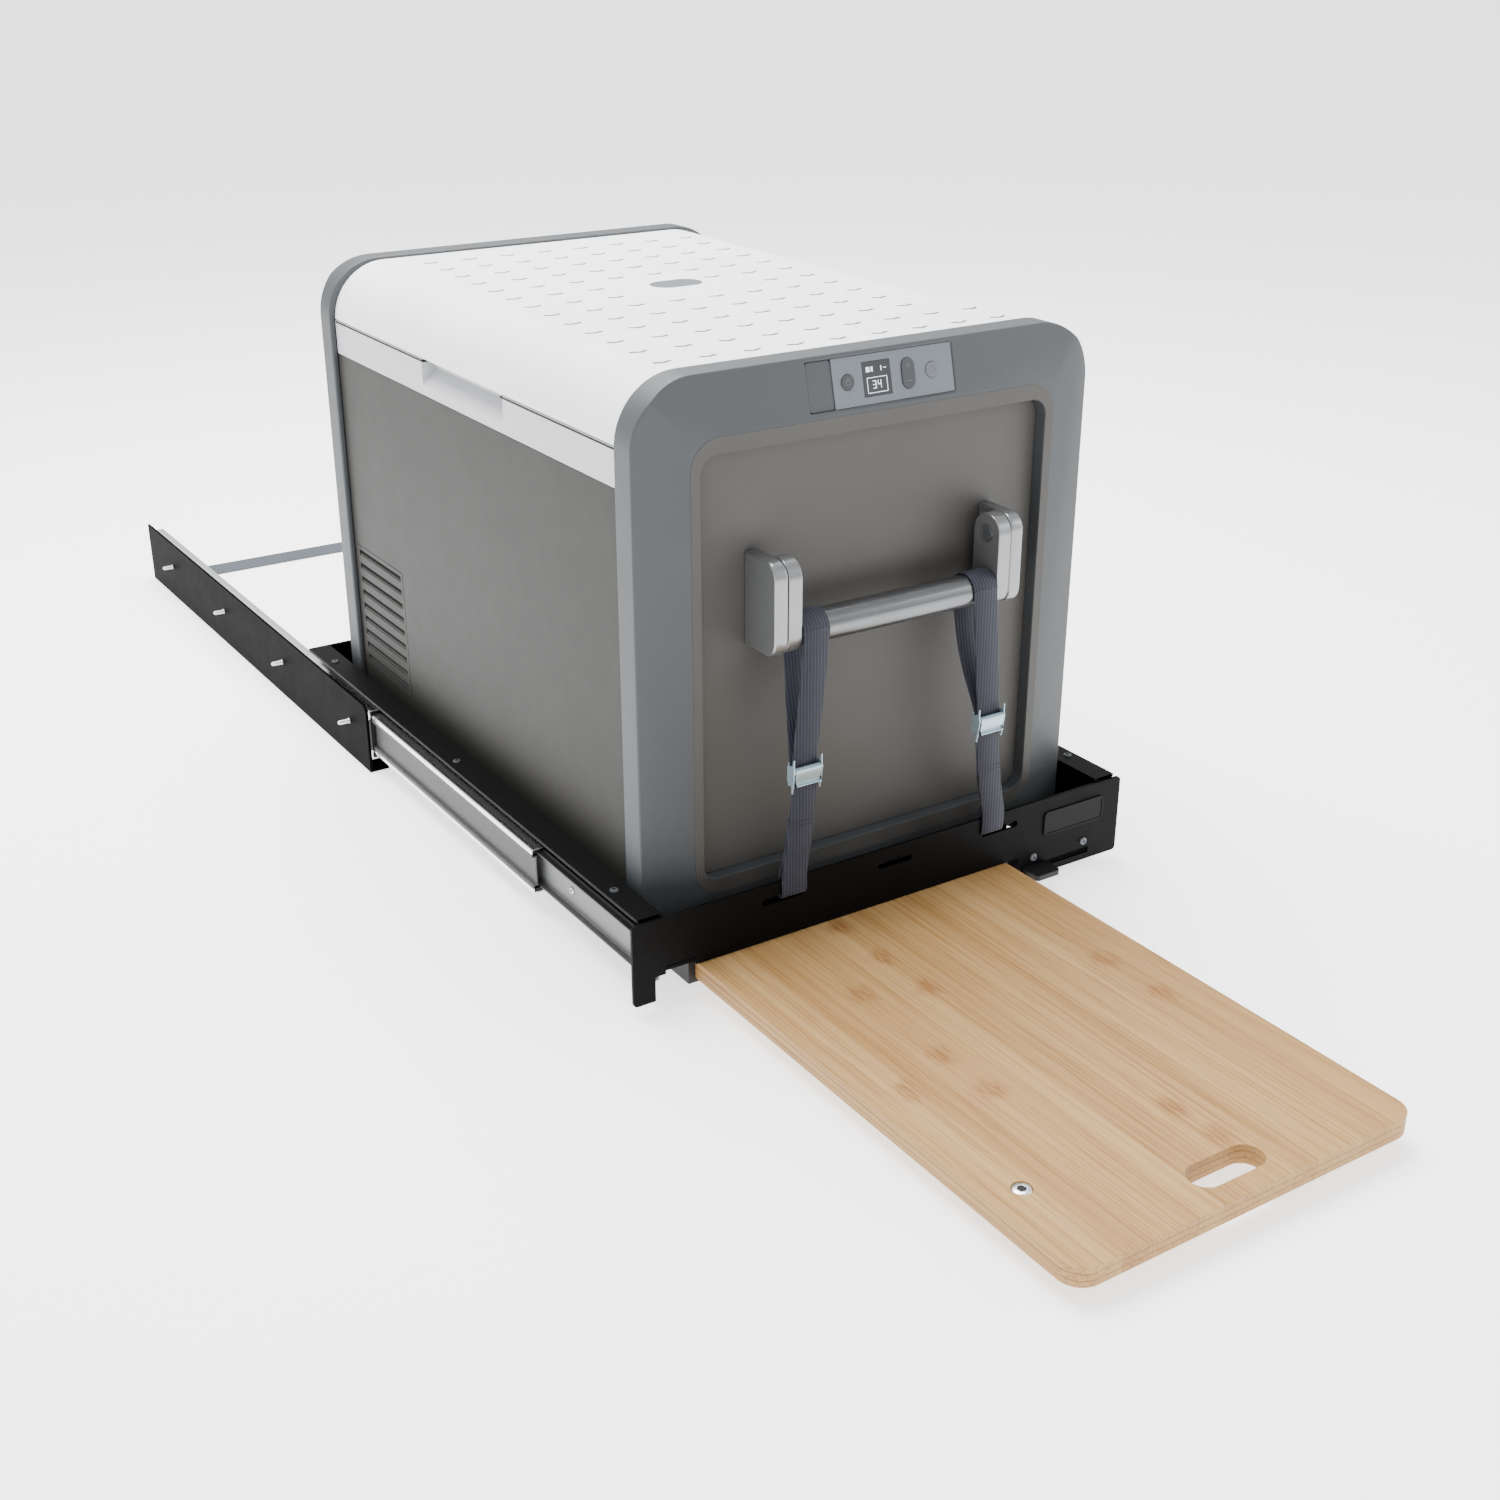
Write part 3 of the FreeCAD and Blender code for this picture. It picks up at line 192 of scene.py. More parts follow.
def moulded(name, colour, rough=0.48, grain=0.12, shine=0.28):
    """Moulded plastic with a fine spark-eroded grain and faint uneven gloss."""
    finish = Finish(name, colour, rough, 0.0, Specular_IOR_Level=shine)
    finish.tint(finish.noise(even(9), 4), 0.035)
    finish.polish(finish.noise(even(35), 3), 0.05)
    return finish.bump(finish.noise(even(1400), 2), grain, 0.12).material


def painted(name, colour, rough=0.4, peel=0.18, shine=0.3):
    """Powder coat: an orange-peel skin with slightly uneven sheen."""
    finish = Finish(name, colour, rough, 0.0, Specular_IOR_Level=shine)
    finish.tint(finish.noise(even(9), 4, 0.5), 0.04)
    finish.polish(finish.noise(even(60), 4), 0.05)
    finish.bump(finish.noise(even(520), 3), peel, 0.12)
    return finish.bump(finish.noise(even(2600), 1), 0.1, 0.05).material


def drawn(name, colour, rough, along, metal=1.0, streak=0.14):
    """Bright drawn or brushed metal, with streaks along one axis."""
    finish = Finish(name, colour, rough, metal)
    scale = tuple(6 if axis == along else 1500 for axis in "xyz")
    fine = finish.noise(scale, 4, 0.6)
    finish.tint(finish.noise(even(22), 4), 0.05)
    finish.polish(fine, 0.1)
    return finish.bump(fine, streak, 0.05).material


def cast(name, colour, rough):
    """Satin bead-blasted aluminium."""
    finish = Finish(name, colour, rough, 0.75)
    finish.tint(finish.noise(even(30), 5), 0.04)
    finish.polish(finish.noise(even(120), 3), 0.05)
    return finish.bump(finish.noise(even(2200), 2), 0.12, 0.06).material


def rail_steel():
    """Zinc-plated rail: bright races, a duller groove along them and a greyer rolled web between."""
    finish = Finish("rail_steel", (0.90, 0.91, 0.92), 0.24, 0.9, Specular_IOR_Level=0.2)
    fine = finish.noise((1500, 6, 1500), 4, 0.6)
    height = finish.math("SUBTRACT", finish.axis("Z"), RAIL_HIGH * MM)
    web = finish.math("LESS_THAN", finish.math("ABSOLUTE", height), 17.4 * MM)
    speck = finish.noise((900, 260, 900), 3, 0.6)
    dull = finish.ramp(speck, [(0.3, (0.060, 0.061, 0.061)), (0.7, (0.105, 0.106, 0.105))])
    outwards = finish.math("ABSOLUTE", finish.axis("X"))
    from_middle = finish.math("ABSOLUTE", finish.math("SUBTRACT", outwards, 246.2 * MM))
    groove = finish.math("LESS_THAN", from_middle, 2.6 * MM)
    inner = finish.math("MULTIPLY", finish.math("LESS_THAN", outwards, 241.2 * MM), 0.8)
    dull = finish.mix(inner, dull, (0.26, 0.262, 0.265))
    web = finish.math("MAXIMUM", web, finish.math("MULTIPLY", groove, 0.75))
    finish.paint(finish.mix(web, (0.90, 0.91, 0.92), dull))
    finish.links.new(finish.math("ADD", finish.math("MULTIPLY", web, 0.32), 0.22),
                     finish.shader.inputs["Roughness"])
    finish.links.new(finish.math("SUBTRACT", 0.9, finish.math("MULTIPLY", web, 0.75)),
                     finish.shader.inputs["Metallic"])
    return finish.bump(fine, 0.05, 0.05).material


def bamboo():
    """Oiled laminated bamboo: glued strips along Y, fibre streaks, plies and the culm's darker rings."""
    strip = 23.0
    finish = Finish("oiled_bamboo", (0.45, 0.28, 0.12), 0.5, 0.0, Specular_IOR_Level=0.18)
    across = finish.math("DIVIDE", finish.axis("X"), strip * MM)
    lane = finish.math("FLOOR", across)
    lane_noise = finish.nodes.new("ShaderNodeTexWhiteNoise")
    lane_noise.noise_dimensions = "1D"
    finish.links.new(lane, lane_noise.inputs["W"])
    base = finish.ramp(lane_noise.outputs["Value"], [
        (0.0, (0.405, 0.245, 0.098)), (0.35, (0.455, 0.287, 0.122)), (0.7, (0.375, 0.218, 0.083)),
        (1.0, (0.480, 0.312, 0.138))])
    fibre = finish.noise((620, 6, 620), 4, 0.7)
    streaks = finish.ramp(fibre, [(0.38, (0.74, 0.64, 0.52)), (0.52, (1.0, 1.0, 1.0)),
                                  (0.85, (1.06, 1.06, 1.06))])
    broad = finish.ramp(finish.noise((60, 2.2, 60), 3), [(0.3, (0.88, 0.84, 0.79)), (0.7, (1.0, 1.0, 1.0))])
    wood = finish.mix(1.0, finish.mix(1.0, base, streaks, "MULTIPLY"), broad, "MULTIPLY")
    height = finish.math("DIVIDE", finish.math("SUBTRACT", finish.axis("Z"), 13.5 * MM), 16.3 * MM)
    dark, pale = (0.55, 0.44, 0.34), (1.0, 1.0, 1.0)
    plies = finish.ramp(height, [(0.0, pale), (0.27, pale), (0.31, dark), (0.36, pale), (0.62, pale),
                                 (0.66, dark), (0.71, pale)])
    wood = finish.mix(1.0, wood, plies, "MULTIPLY")
    knots = finish.nodes.new("ShaderNodeTexVoronoi")
    knots.inputs["Scale"].default_value = 1.0
    knots.voronoi_dimensions = "2D"
    knots.inputs["Randomness"].default_value = 0.8
    finish.links.new(finish.stretched((450 / strip, 15, 1)), knots.inputs["Vector"])
    frayed = finish.math("ADD", knots.outputs["Distance"],
                         finish.math("MULTIPLY", finish.noise((420, 60, 420), 4), 0.36))
    picked = finish.nodes.new("ShaderNodeSeparateColor")
    finish.links.new(knots.outputs["Color"], picked.inputs[0])
    spot = finish.ramp(frayed, [(0.28, (1.0, 1.0, 1.0)), (0.46, (0.0, 0.0, 0.0))])
    mark = finish.math("MULTIPLY", spot, finish.math("GREATER_THAN", picked.outputs[0], 0.84))
    crossed = finish.ramp(finish.noise((800, 45, 800), 3, 0.6),
                          [(0.40, (0.12, 0.12, 0.12)), (0.58, (1.0, 1.0, 1.0))])
    keep = finish.math("MULTIPLY", finish.math("MULTIPLY", mark, crossed), 0.75)
    wood = finish.mix(keep, wood, (0.20, 0.072, 0.020))
    edge = finish.math("ABSOLUTE", finish.math("SUBTRACT", finish.math("FRACT", across), 0.5))
    seam = finish.ramp(edge, [(0.482, (1.0, 1.0, 1.0)), (0.5, (0.80, 0.76, 0.72))])
    finish.paint(finish.mix(1.0, wood, seam, "MULTIPLY"))
    finish.polish(fibre, 0.05)
    return finish.bump(fibre, 0.12, 0.06).material


def webbing():
    """Woven polyester webbing: ribs along its length crossed by fine picks, with painted shade in the weave's
    troughs and painted light on its crests.
    """
    finish = Finish("woven_webbing", (0.030, 0.034, 0.052), 0.62, 0.0, Sheen_Weight=0.06,
                    Sheen_Roughness=0.4, Specular_IOR_Level=0.2)
    rib = finish.math("SINE", finish.math("MULTIPLY", finish.axis("X"), math.tau / (3.1 * MM)))
    pick = finish.math("SINE", finish.math("MULTIPLY", finish.axis("Z"), math.tau / (0.9 * MM)))
    weave = finish.math("ADD", rib, finish.math("MULTIPLY", pick, 0.5))
    level = finish.math("ADD", finish.math("MULTIPLY", weave, 0.28), 0.5)
    # The colour follows the weave's height: painted shade in the troughs, painted light on the crests.
    finish.paint(finish.ramp(level, [(0.1, (0.010, 0.011, 0.017)), (0.9, (0.036, 0.039, 0.055))]))
    finish.bump(level, 0.6, 0.35)
    return finish.bump(finish.noise(even(2600), 3), 0.2, 0.08).material


def glassy(name, colour):
    """The display's dark window."""
    finish = Finish(name, colour, 0.08, 0.0, Coat_Weight=0.6, Coat_Roughness=0.04)
    finish.tint(finish.noise(even(60), 2), 0.08)
    return finish.polish(finish.noise(even(150), 3), 0.03).material


def foam():
    """Rigid insulation foam with an uneven skin."""
    finish = Finish("rigid_foam", (0.80, 0.70, 0.42), 0.85)
    finish.tint(finish.noise(even(40), 5), 0.1)
    return finish.bump(finish.noise(even(500), 4), 0.6, 0.6).material


def glowing(name, colour):
    """Lit display segments."""
    finish = Finish(name, colour, 0.4, 0.0, Emission_Color=(*colour, 1), Emission_Strength=0.5)
    return finish.tint(finish.noise(even(300), 2), 0.05).material


MATERIALS = {
    "black_powder_coat": painted("black_powder_coat", (0.0022, 0.0022, 0.0023), 0.52, 0.05, 0.06),
    "zinc_steel": rail_steel(),
    "stud_steel": drawn("stud_steel", (0.55, 0.55, 0.55), 0.3, "x"),
    "pale_steel": drawn("buckle_steel", (0.34, 0.455, 0.515), 0.34, "x", 0.6),
    "bamboo": bamboo(),
    "frame_plastic": moulded("frame_grey", (0.052, 0.057, 0.062)),
    "side_panel": painted("side_grey", (0.034, 0.033, 0.031), 0.45, 0.05, 0.08),
    "inset_panel": moulded("inset_grey", (0.056, 0.054, 0.050), 0.5, 0.1),
    "white_plastic": moulded("lid_white", (0.86, 0.87, 0.875), 0.36, 0.05),
    "pale_plastic": moulded("band_pale_grey", (0.50, 0.505, 0.525), 0.42, 0.05),
    "food_white": moulded("food_white", (0.78, 0.79, 0.80), 0.3, 0.03),
    "foam": foam(),
    "control_grey": moulded("control_grey", (0.125, 0.140, 0.158), 0.34, 0.04),
    "screen": glassy("display_glass", (0.030, 0.032, 0.036)),
    "button_dark": moulded("button_dark", (0.045, 0.048, 0.052), 0.42, 0.05),
    "button_light": moulded("button_grey", (0.115, 0.125, 0.14), 0.36, 0.04),
    "handle_alloy": cast("handle_alloy", (0.23, 0.234, 0.24), 0.3),
    "tube_metal": drawn("dark_tube", (0.155, 0.16, 0.165), 0.28, "x", 0.9),
    "webbing": webbing(),
    "black_plastic": moulded("black_plastic", (0.007, 0.007, 0.0075), 0.45, 0.06),
    "black_rubber": moulded("black_rubber", (0.006, 0.006, 0.006), 0.7, 0.3),
    "bare_aluminium": drawn("bare_aluminium", (0.78, 0.79, 0.80), 0.32, "z"),
    "coated_wire": painted("coated_wire", (0.09, 0.095, 0.10), 0.35, 0.05, 0.5),
    "compressor_black": painted("compressor_enamel", (0.009, 0.009, 0.010), 0.3, 0.1, 0.5),
    "board_green": moulded("circuit_green", (0.015, 0.08, 0.035), 0.35, 0.05),
}
# A darker, nearly unreflective copy of the black powder coat for the base brackets: painted shade, standing
# for the shade on their outer faces.
PAINTED_SHADE_COAT = painted("bracket_powder_coat_painted_shade", (0.0018, 0.0018, 0.0019), 0.6, 0.03, 0.02)
# Copies of a slot's material for single CAD nodes, with painted light or shade in their colour.
PAINTED_LIGHT_FINISHES = {
    "base_bracket_left": PAINTED_SHADE_COAT,
    "base_bracket_right": PAINTED_SHADE_COAT,
    # A lighter, bluish copy of the black powder coat for the rear cross strip: painted reflection of the
    # bright sky on its top face.
    "rear_cross_strip": painted("strip_powder_coat_painted_reflection", (0.060, 0.071, 0.082), 0.4, 0.1, 0.3),
}
BADGE_BLACK = moulded("badge_black", (0.006, 0.006, 0.006), 0.5, 0.05, 0.09)
LIT = glowing("display_segments", (0.80, 0.85, 0.90))
# Grey for raised marks: the buttons' symbols have it as their own colour; on the lid's chevrons it is painted
# shade.
MARK_AND_SHADE_GREY = moulded("mark_grey_and_painted_shade", (0.095, 0.105, 0.118), 0.5, 0.05)


# ---------------------------------------------------------------- mesh helpers

def piece(name, mesh, material, body, replaced=(), sharp=32, bevel=0.0, segments=2):
    """Turn a bmesh into a shaded object that rides on a body; when body is a tuple the object is left
    unattached where it stands.
    """
    bmesh.ops.recalc_face_normals(mesh, faces=mesh.faces)
    for face in mesh.faces:
        face.smooth = True
    for edge in mesh.edges:
        edge.smooth = edge.calc_face_angle(math.pi) < math.radians(sharp)
    data = bpy.data.meshes.new(name)
    mesh.to_mesh(data)
    mesh.free()
    item = bpy.data.objects.new(name, data)
    bpy.context.scene.collection.objects.link(item)
    data.materials.append(material)
    if bevel:
        soften(item, bevel, segments, weld=False)
    if isinstance(body, tuple):
        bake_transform(item)
    else:
        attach(item, body)
    if replaced:
        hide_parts(*replaced)
    return item


def soften(item, width, segments=2, weld=True):
    """Round an object's sharp edges with modifiers, which leave its own mesh alone."""
    if weld:
        item.modifiers.new("Weld", "WELD").merge_threshold = 0.002 * MM
        flat = item.modifiers.new("Flat", "DECIMATE")
        flat.decimate_type = "DISSOLVE"
        flat.angle_limit = math.radians(0.4)
    bevel = item.modifiers.new("Bevel", "BEVEL")
    bevel.width = width * MM
    bevel.segments = segments
    bevel.limit_method = "ANGLE"
    bevel.angle_limit = math.radians(38)
    bevel.miter_outer = "MITER_ARC"
    item.modifiers.new("Normals", "WEIGHTED_NORMAL").keep_sharp = False


def add_prism(mesh, outline, low, high, axes="xzy"):
    """Extrude an outline; axes names its two own axes and the axis that it is extruded along."""
    order = ["xyz".index(axis) for axis in axes]

    def corner(u, v, w):
        place = [0.0, 0.0, 0.0]
        for slot_number, value in zip(order, (u, v, w)):
            place[slot_number] = value
        return mesh.verts.new(at(*place))

    near = [corner(u, v, low) for u, v in outline]
    far = [corner(u, v, high) for u, v in outline]
    add_capped_loops(mesh, [near, far])


def add_loop_faces(mesh, loops):
    """Faces between each two neighbouring loops of vertices."""
    count = len(loops[0])
    for near, far in zip(loops, loops[1:]):
        for step in range(count):
            mesh.faces.new((near[step], near[(step + 1) % count], far[(step + 1) % count], far[step]))


def add_capped_loops(mesh, loops):
    """A closed solid: a face on the first and the last loop, and faces between."""
    mesh.faces.new(loops[0])
    mesh.faces.new(loops[-1])
    add_loop_faces(mesh, loops)


def rounded_outline(low, high, radius, steps=6):
    """A rectangle from low to high with its corners rounded."""
    points = []
    for turn, (sx, sy) in enumerate(((1, 1), (-1, 1), (-1, -1), (1, -1))):
        centre_x = (high[0] - radius) if sx > 0 else (low[0] + radius)
        centre_y = (high[1] - radius) if sy > 0 else (low[1] + radius)
        for step in range(steps + 1):
            angle = math.pi / 2 * (turn + step / steps)
            points.append((centre_x + radius * math.cos(angle), centre_y + radius * math.sin(angle)))
    return points


def mirrored_outline(sign, near, far, low, high, radius, steps=3):
    """A rounded rectangle on one side, from near to far off the middle; sign is -1 on the left."""
    left, right = sorted((sign * near, sign * far))
    return rounded_outline((left, low), (right, high), radius, steps)


def rectangle(x, y, half_wide, half_tall):
    return [(x - half_wide, y - half_tall), (x + half_wide, y - half_tall),
            (x + half_wide, y + half_tall), (x - half_wide, y + half_tall)]


def circle(centre, radius, count=32):
    return [(centre[0] + radius * math.cos(math.tau * step / count),
             centre[1] + radius * math.sin(math.tau * step / count)) for step in range(count)]


def turned_loop(mesh, centre, axis, radii, reach):
    """A closed loop of vertices round an axis, with one radius for each of its corners."""
    axis = Vector(axis).normalized()
    side = axis.orthogonal().normalized()
    other = axis.cross(side)
    loop = []
    for step, radius in enumerate(radii):
        angle = math.tau * step / len(radii)
        spot = side * math.cos(angle) * radius + other * math.sin(angle) * radius + axis * reach
        loop.append(mesh.verts.new(centre + spot * MM))
    return loop


def add_turned(mesh, centre, axis, rings, count=32):
    """A solid of revolution: rings lists (radius, distance along the axis) from one end to the other."""
    loops = [turned_loop(mesh, centre, axis, [radius] * count, reach) for radius, reach in rings]
    add_capped_loops(mesh, loops)


def add_pan_screw(mesh, centre, axis, radius, high, socket=0.5):
    """A pan-head screw with a hexagonal socket, whose width is a share of the head's."""
    count = 36
    rings = [(radius, 0), (radius, high * 0.35), (radius * 0.93, high * 0.7), (radius * 0.75, high)]
    loops = [turned_loop(mesh, centre, axis, [ring_radius] * count, reach) for ring_radius, reach in rings]
    flat = radius * socket * math.cos(HEXAGON / 2)
    within = [(math.tau * step / count) % HEXAGON - HEXAGON / 2 for step in range(count)]
    hexagon = [flat / math.cos(angle) for angle in within]
    loops += [turned_loop(mesh, centre, axis, hexagon, reach) for reach in (high, high * 0.35)]
    add_capped_loops(mesh, loops)


def smooth_path(points, steps=6):
    """Points on a Catmull-Rom curve through the given ones."""
    points = [Vector(point) for point in points]
    padded = [points[0], *points, points[-1]]
    path = []
    for index in range(1, len(padded) - 2):
        a, b, c, d = padded[index - 1:index + 3]
        for step in range(steps):
            t = step / steps
            path.append(0.5 * ((2 * b) + (c - a) * t + (2 * a - 5 * b + 4 * c - d) * t * t
                               + (3 * b - a - 3 * c + d) * t * t * t))
    path.append(points[-1])
    return path


def add_band(mesh, path, width, thick):
    """A flat band that lies across X along a path of places in millimetres."""
    half, skin, corner = width / 2, thick / 2, 0.5
    section = [(-half, -skin / 2), (corner - half, -skin), (0, -skin), (half - corner, -skin),
               (half, -skin / 2), (half, skin / 2), (half - corner, skin), (0, skin),
               (corner - half, skin), (-half, skin / 2)]
    loops = []
    for index, spot in enumerate(path):
        ahead = path[min(index + 1, len(path) - 1)]
        behind = path[max(index - 1, 0)]
        way = (ahead - behind).normalized()
        out = Vector((0, way.z, -way.y)).normalized()
        places = [spot + Vector((across, 0, 0)) + out * depth for across, depth in section]
        loops.append([mesh.verts.new(at(*place)) for place in places])
    add_capped_loops(mesh, loops)


def on_slope(across, up, out):
    """A place on the front frame's upper slope: across it, up it and out of it, in millimetres."""
    run, rise = SLOPE_HIGH[0] - SLOPE_LOW[0], SLOPE_HIGH[1] - SLOPE_LOW[1]
    long = math.hypot(run, rise)
    return at(across, SLOPE_LOW[0] + (up * run - out * rise) / long,
              SLOPE_LOW[1] + (up * rise + out * run) / long)


def add_slope_prism(mesh, outline, low, high):
    """Extrude an outline given across and up the slope, outwards from it."""
    add_capped_loops(mesh, [[mesh.verts.new(on_slope(u, v, out)) for u, v in outline] for out in (low, high)])


def add_slope_ring(mesh, centre, radius, wide, low, high):
    """A flat ring on the slope."""
    inner = radius - wide
    loops = [[mesh.verts.new(on_slope(x, y, out)) for x, y in circle(centre, size, 28)]
             for size, out in ((radius, low), (radius, high), (inner, high), (inner, low))]
    add_loop_faces(mesh, [*loops, loops[0]])


# ---------------------------------------------------------------- CAD nodes' finishes

def finish_nodes():
    """Give every CAD node the material of its slot, except the base brackets and the rear cross strip, which
    get copies of the black powder coat with painted shade and a painted reflection, and round the edges that
    catch light.
    """
    for part in frame["record"]["subparts"]:
        item = NODES[part["node"]]
        material = PAINTED_LIGHT_FINISHES.get(part["node"], MATERIALS[part["material_slot"]])
        if item.data.materials:
            for number in range(len(item.data.materials)):
                item.data.materials[number] = material
        else:
            item.data.materials.append(material)
    for node, width, segments in (
            ("lid_shell", 1.6, 3), ("front_end_frame", 2.2, 3), ("rear_end_frame", 2.2, 3),
            ("front_inset_panel", 0.8, 2), ("rear_inset_panel", 0.8, 2), ("collar_band", 0.7, 2),
            ("body_shell", 0.6, 2), ("control_plate", 0.5, 2), ("power_button", 0.8, 3),
            ("enter_button", 0.8, 3), ("set_rocker", 1.0, 3), ("handle_cheeks", 2.2, 4),
            ("handle_arms_front", 2.0, 4), ("handle_arms_rear", 2.0, 4), ("handle_pivots", 0.6, 2),
            ("sliding_board", 1.2, 3), ("tray_pan", 0.5, 2), ("tray_front_panel", 0.6, 2),
            ("base_bracket_left", 0.6, 2), ("base_bracket_right", 0.6, 2), ("rear_cross_strip", 0.5, 2),
            ("rear_stop_plates", 0.5, 2), ("outer_rail_left", 0.4, 2), ("outer_rail_right", 0.4, 2),
            ("mid_rail_left", 0.7, 2), ("mid_rail_right", 0.7, 2), ("inner_rail_left", 0.5, 2),
            ("inner_rail_right", 0.5, 2), ("food_tub", 3.0, 3), ("lid_inner_pan", 0.8, 2),
            ("lid_latch", 0.6, 2), ("slide_lock_tab", 1.2, 3), ("compressor", 1.0, 2),
            ("power_sockets", 0.8, 2), ("rubber_feet", 0.8, 2)):
        soften(NODES[node], width, segments)


# ---------------------------------------------------------------- cooler

def make_lid_marks():
    """Rows of small raised chevrons on the lid round a plain lozenge. The chevrons' grey is painted shade,
    standing for the shading on the sides of raised marks that are the lid's own white.
    """
    top = span("lid_shell")[1].z
    mesh = bmesh.new()
    origin, row, column = Vector((-164, 104)), Vector((41.2, -1.1)), Vector((2.4, 41.3))
    wing, rise, thick, high = 7.8, 3.2, 2.7, 0.4
    chevron = [(-wing, rise), (0, 0), (wing, rise), (wing, rise - thick), (0, -thick), (-wing, rise - thick)]
    for across in range(-1, 10):
        for along in range(14):
            centre = origin + row * across + column * along
            if abs(centre.x) > 170 or centre.y > 628:
                continue
            if abs(centre.x - 12) < 45 and abs(centre.y - 378) < 42:
                continue
            add_prism(mesh, [(centre.x + x, centre.y + y) for x, y in chevron], top - 0.3, top + high, "xyz")
    piece("lid_chevrons", mesh, MARK_AND_SHADE_GREY, "lid", bevel=0.15)
    mesh = bmesh.new()
    add_prism(mesh, rounded_outline((-14, 362), (38, 394), 15.9, 10), top - 0.3, top + high, "xyz")
    piece("lid_lozenge", mesh, MARK_AND_SHADE_GREY, "lid", bevel=0.2)


def make_lid_shadow_line():
    """A dark strip along the collar band just under the lid's edge: a painted shadow line standing for the
    shade in the gap between band and lid.
    """
    low, high = span("collar_band")
    top = span("lid_shell")[0].z
    scoop_front, scoop_back = 278, 437
    runs = ((-1, low.y + 2, scoop_front), (-1, scoop_back, high.y - 2), (1, low.y + 2, high.y - 2))
    mesh = bmesh.new()
    for sign, front, back in runs:
        shadow_strip = mirrored_outline(sign, high.x - 6, high.x + 0.15, high.z - 2.4, top - 0.05, 0.3, 2)
        add_prism(mesh, shadow_strip, front, back)
    piece("lid_seal_lip", mesh, MATERIALS["black_rubber"], "tray")


def make_face_rings():
    """The warm grey border round each inset panel, with rounded outer corners."""
    outer = rounded_outline((-181.6, 68.6), (181.6, 461.4), 26, 10)
    inner = rounded_outline((-173.2, 81.8), (173.2, 448.2), 15, 10)
    for end, face, behind in (("front", 35.7, 36.1), ("rear", 684.3, 683.9)):
        mesh = bmesh.new()
        loops = [[mesh.verts.new(at(x, y, z)) for x, z in ring] for ring, y in
                 ((outer, behind), (outer, face), (inner, face), (inner, behind))]
        add_loop_faces(mesh, [*loops, loops[0]])
        piece(f"face_ring_{end}", mesh, MATERIALS["inset_panel"], "tray")


def make_display():
    """Lit shapes on the display: two digits in a frame, under a row of small indicator bars."""
    mesh = bmesh.new()
    wide, high, bar, base = 3.4, 6.4, 0.7, CONTROLS_LOW + 12
    upper = ((wide - bar, high / 2), (wide, high))
    lower = ((wide - bar, 0), (wide, high / 2))
    left_upper = ((0, high / 2), (bar, high))
    levels = [((0, step), (wide, step + bar)) for step in (0, high / 2 - bar / 2, high - bar)]
    three, four = (upper, lower, *levels), (upper, lower, levels[1], left_upper)
    shapes = []
    for start, strokes in ((-6.5, three), (-1.5, four)):
        shapes += [((start + x0, base + y0), (start + x1, base + y1)) for (x0, y0), (x1, y1) in strokes]
    border = ((-12, 8, 8.6, 9.1), (-12, 8, 20.6, 21.1), (-12, -11.5, 8.6, 21.1), (7.5, 8, 8.6, 21.1))
    indicators = ((-12, -8.5, 25.5, 29.5), (-7.2, -5.2, 25.5, 29.5), (2.5, 3.4, 25.5, 29.5),
                  (5.2, 8, 27.2, 27.9))
    for left, right, bottom, top in (*border, *indicators):
        shapes.append(((left, CONTROLS_LOW + bottom), (right, CONTROLS_LOW + top)))
    for low, high in shapes:
        add_slope_prism(mesh, rounded_outline(low, high, 0.2, 2), -1.25, -1.1)
    piece("display_segments", mesh, LIT, "tray")


def make_button_marks():
    """Raised marks on the two buttons and the rocker."""
    middle = CONTROLS_LOW + CONTROLS_TALL / 2
    mesh = bmesh.new()
    add_slope_ring(mesh, (-31, middle), 2.6, 0.55, 0.0, 0.12)
    add_slope_prism(mesh, rectangle(-31, middle + 1.9, 0.3, 1.5), 0.0, 0.14)
    piece("power_mark", mesh, MARK_AND_SHADE_GREY, "button_power")
    mesh = bmesh.new()
    add_slope_ring(mesh, (53, middle), 3.0, 0.5, 0.0, 0.1)
    piece("enter_mark", mesh, MARK_AND_SHADE_GREY, "button_enter")
    mesh = bmesh.new()
    plus, minus = middle + 6, middle - 6
    add_slope_prism(mesh, rectangle(29, plus, 2.1, 0.35), 0.0, 0.12)
    add_slope_prism(mesh, rectangle(29, plus, 0.35, 2.1), 0.0, 0.12)
    add_slope_prism(mesh, rectangle(29, minus, 2.1, 0.35), 0.0, 0.12)
    piece("rocker_marks", mesh, MARK_AND_SHADE_GREY, "rocker")


def make_control_flap():
    """The plain cover at the left end of the control recess."""
    outline = rounded_outline((-69.7, CONTROLS_LOW + 0.3), (-45.3, CONTROLS_LOW + CONTROLS_TALL - 0.3), 3.0)
    mesh = bmesh.new()
    add_slope_prism(mesh, outline, 0.02 - CONTROLS_DEEP, 2.2 - CONTROLS_DEEP)
    piece("control_flap", mesh, MATERIALS["frame_plastic"], "tray", bevel=0.6,
          segments=3)


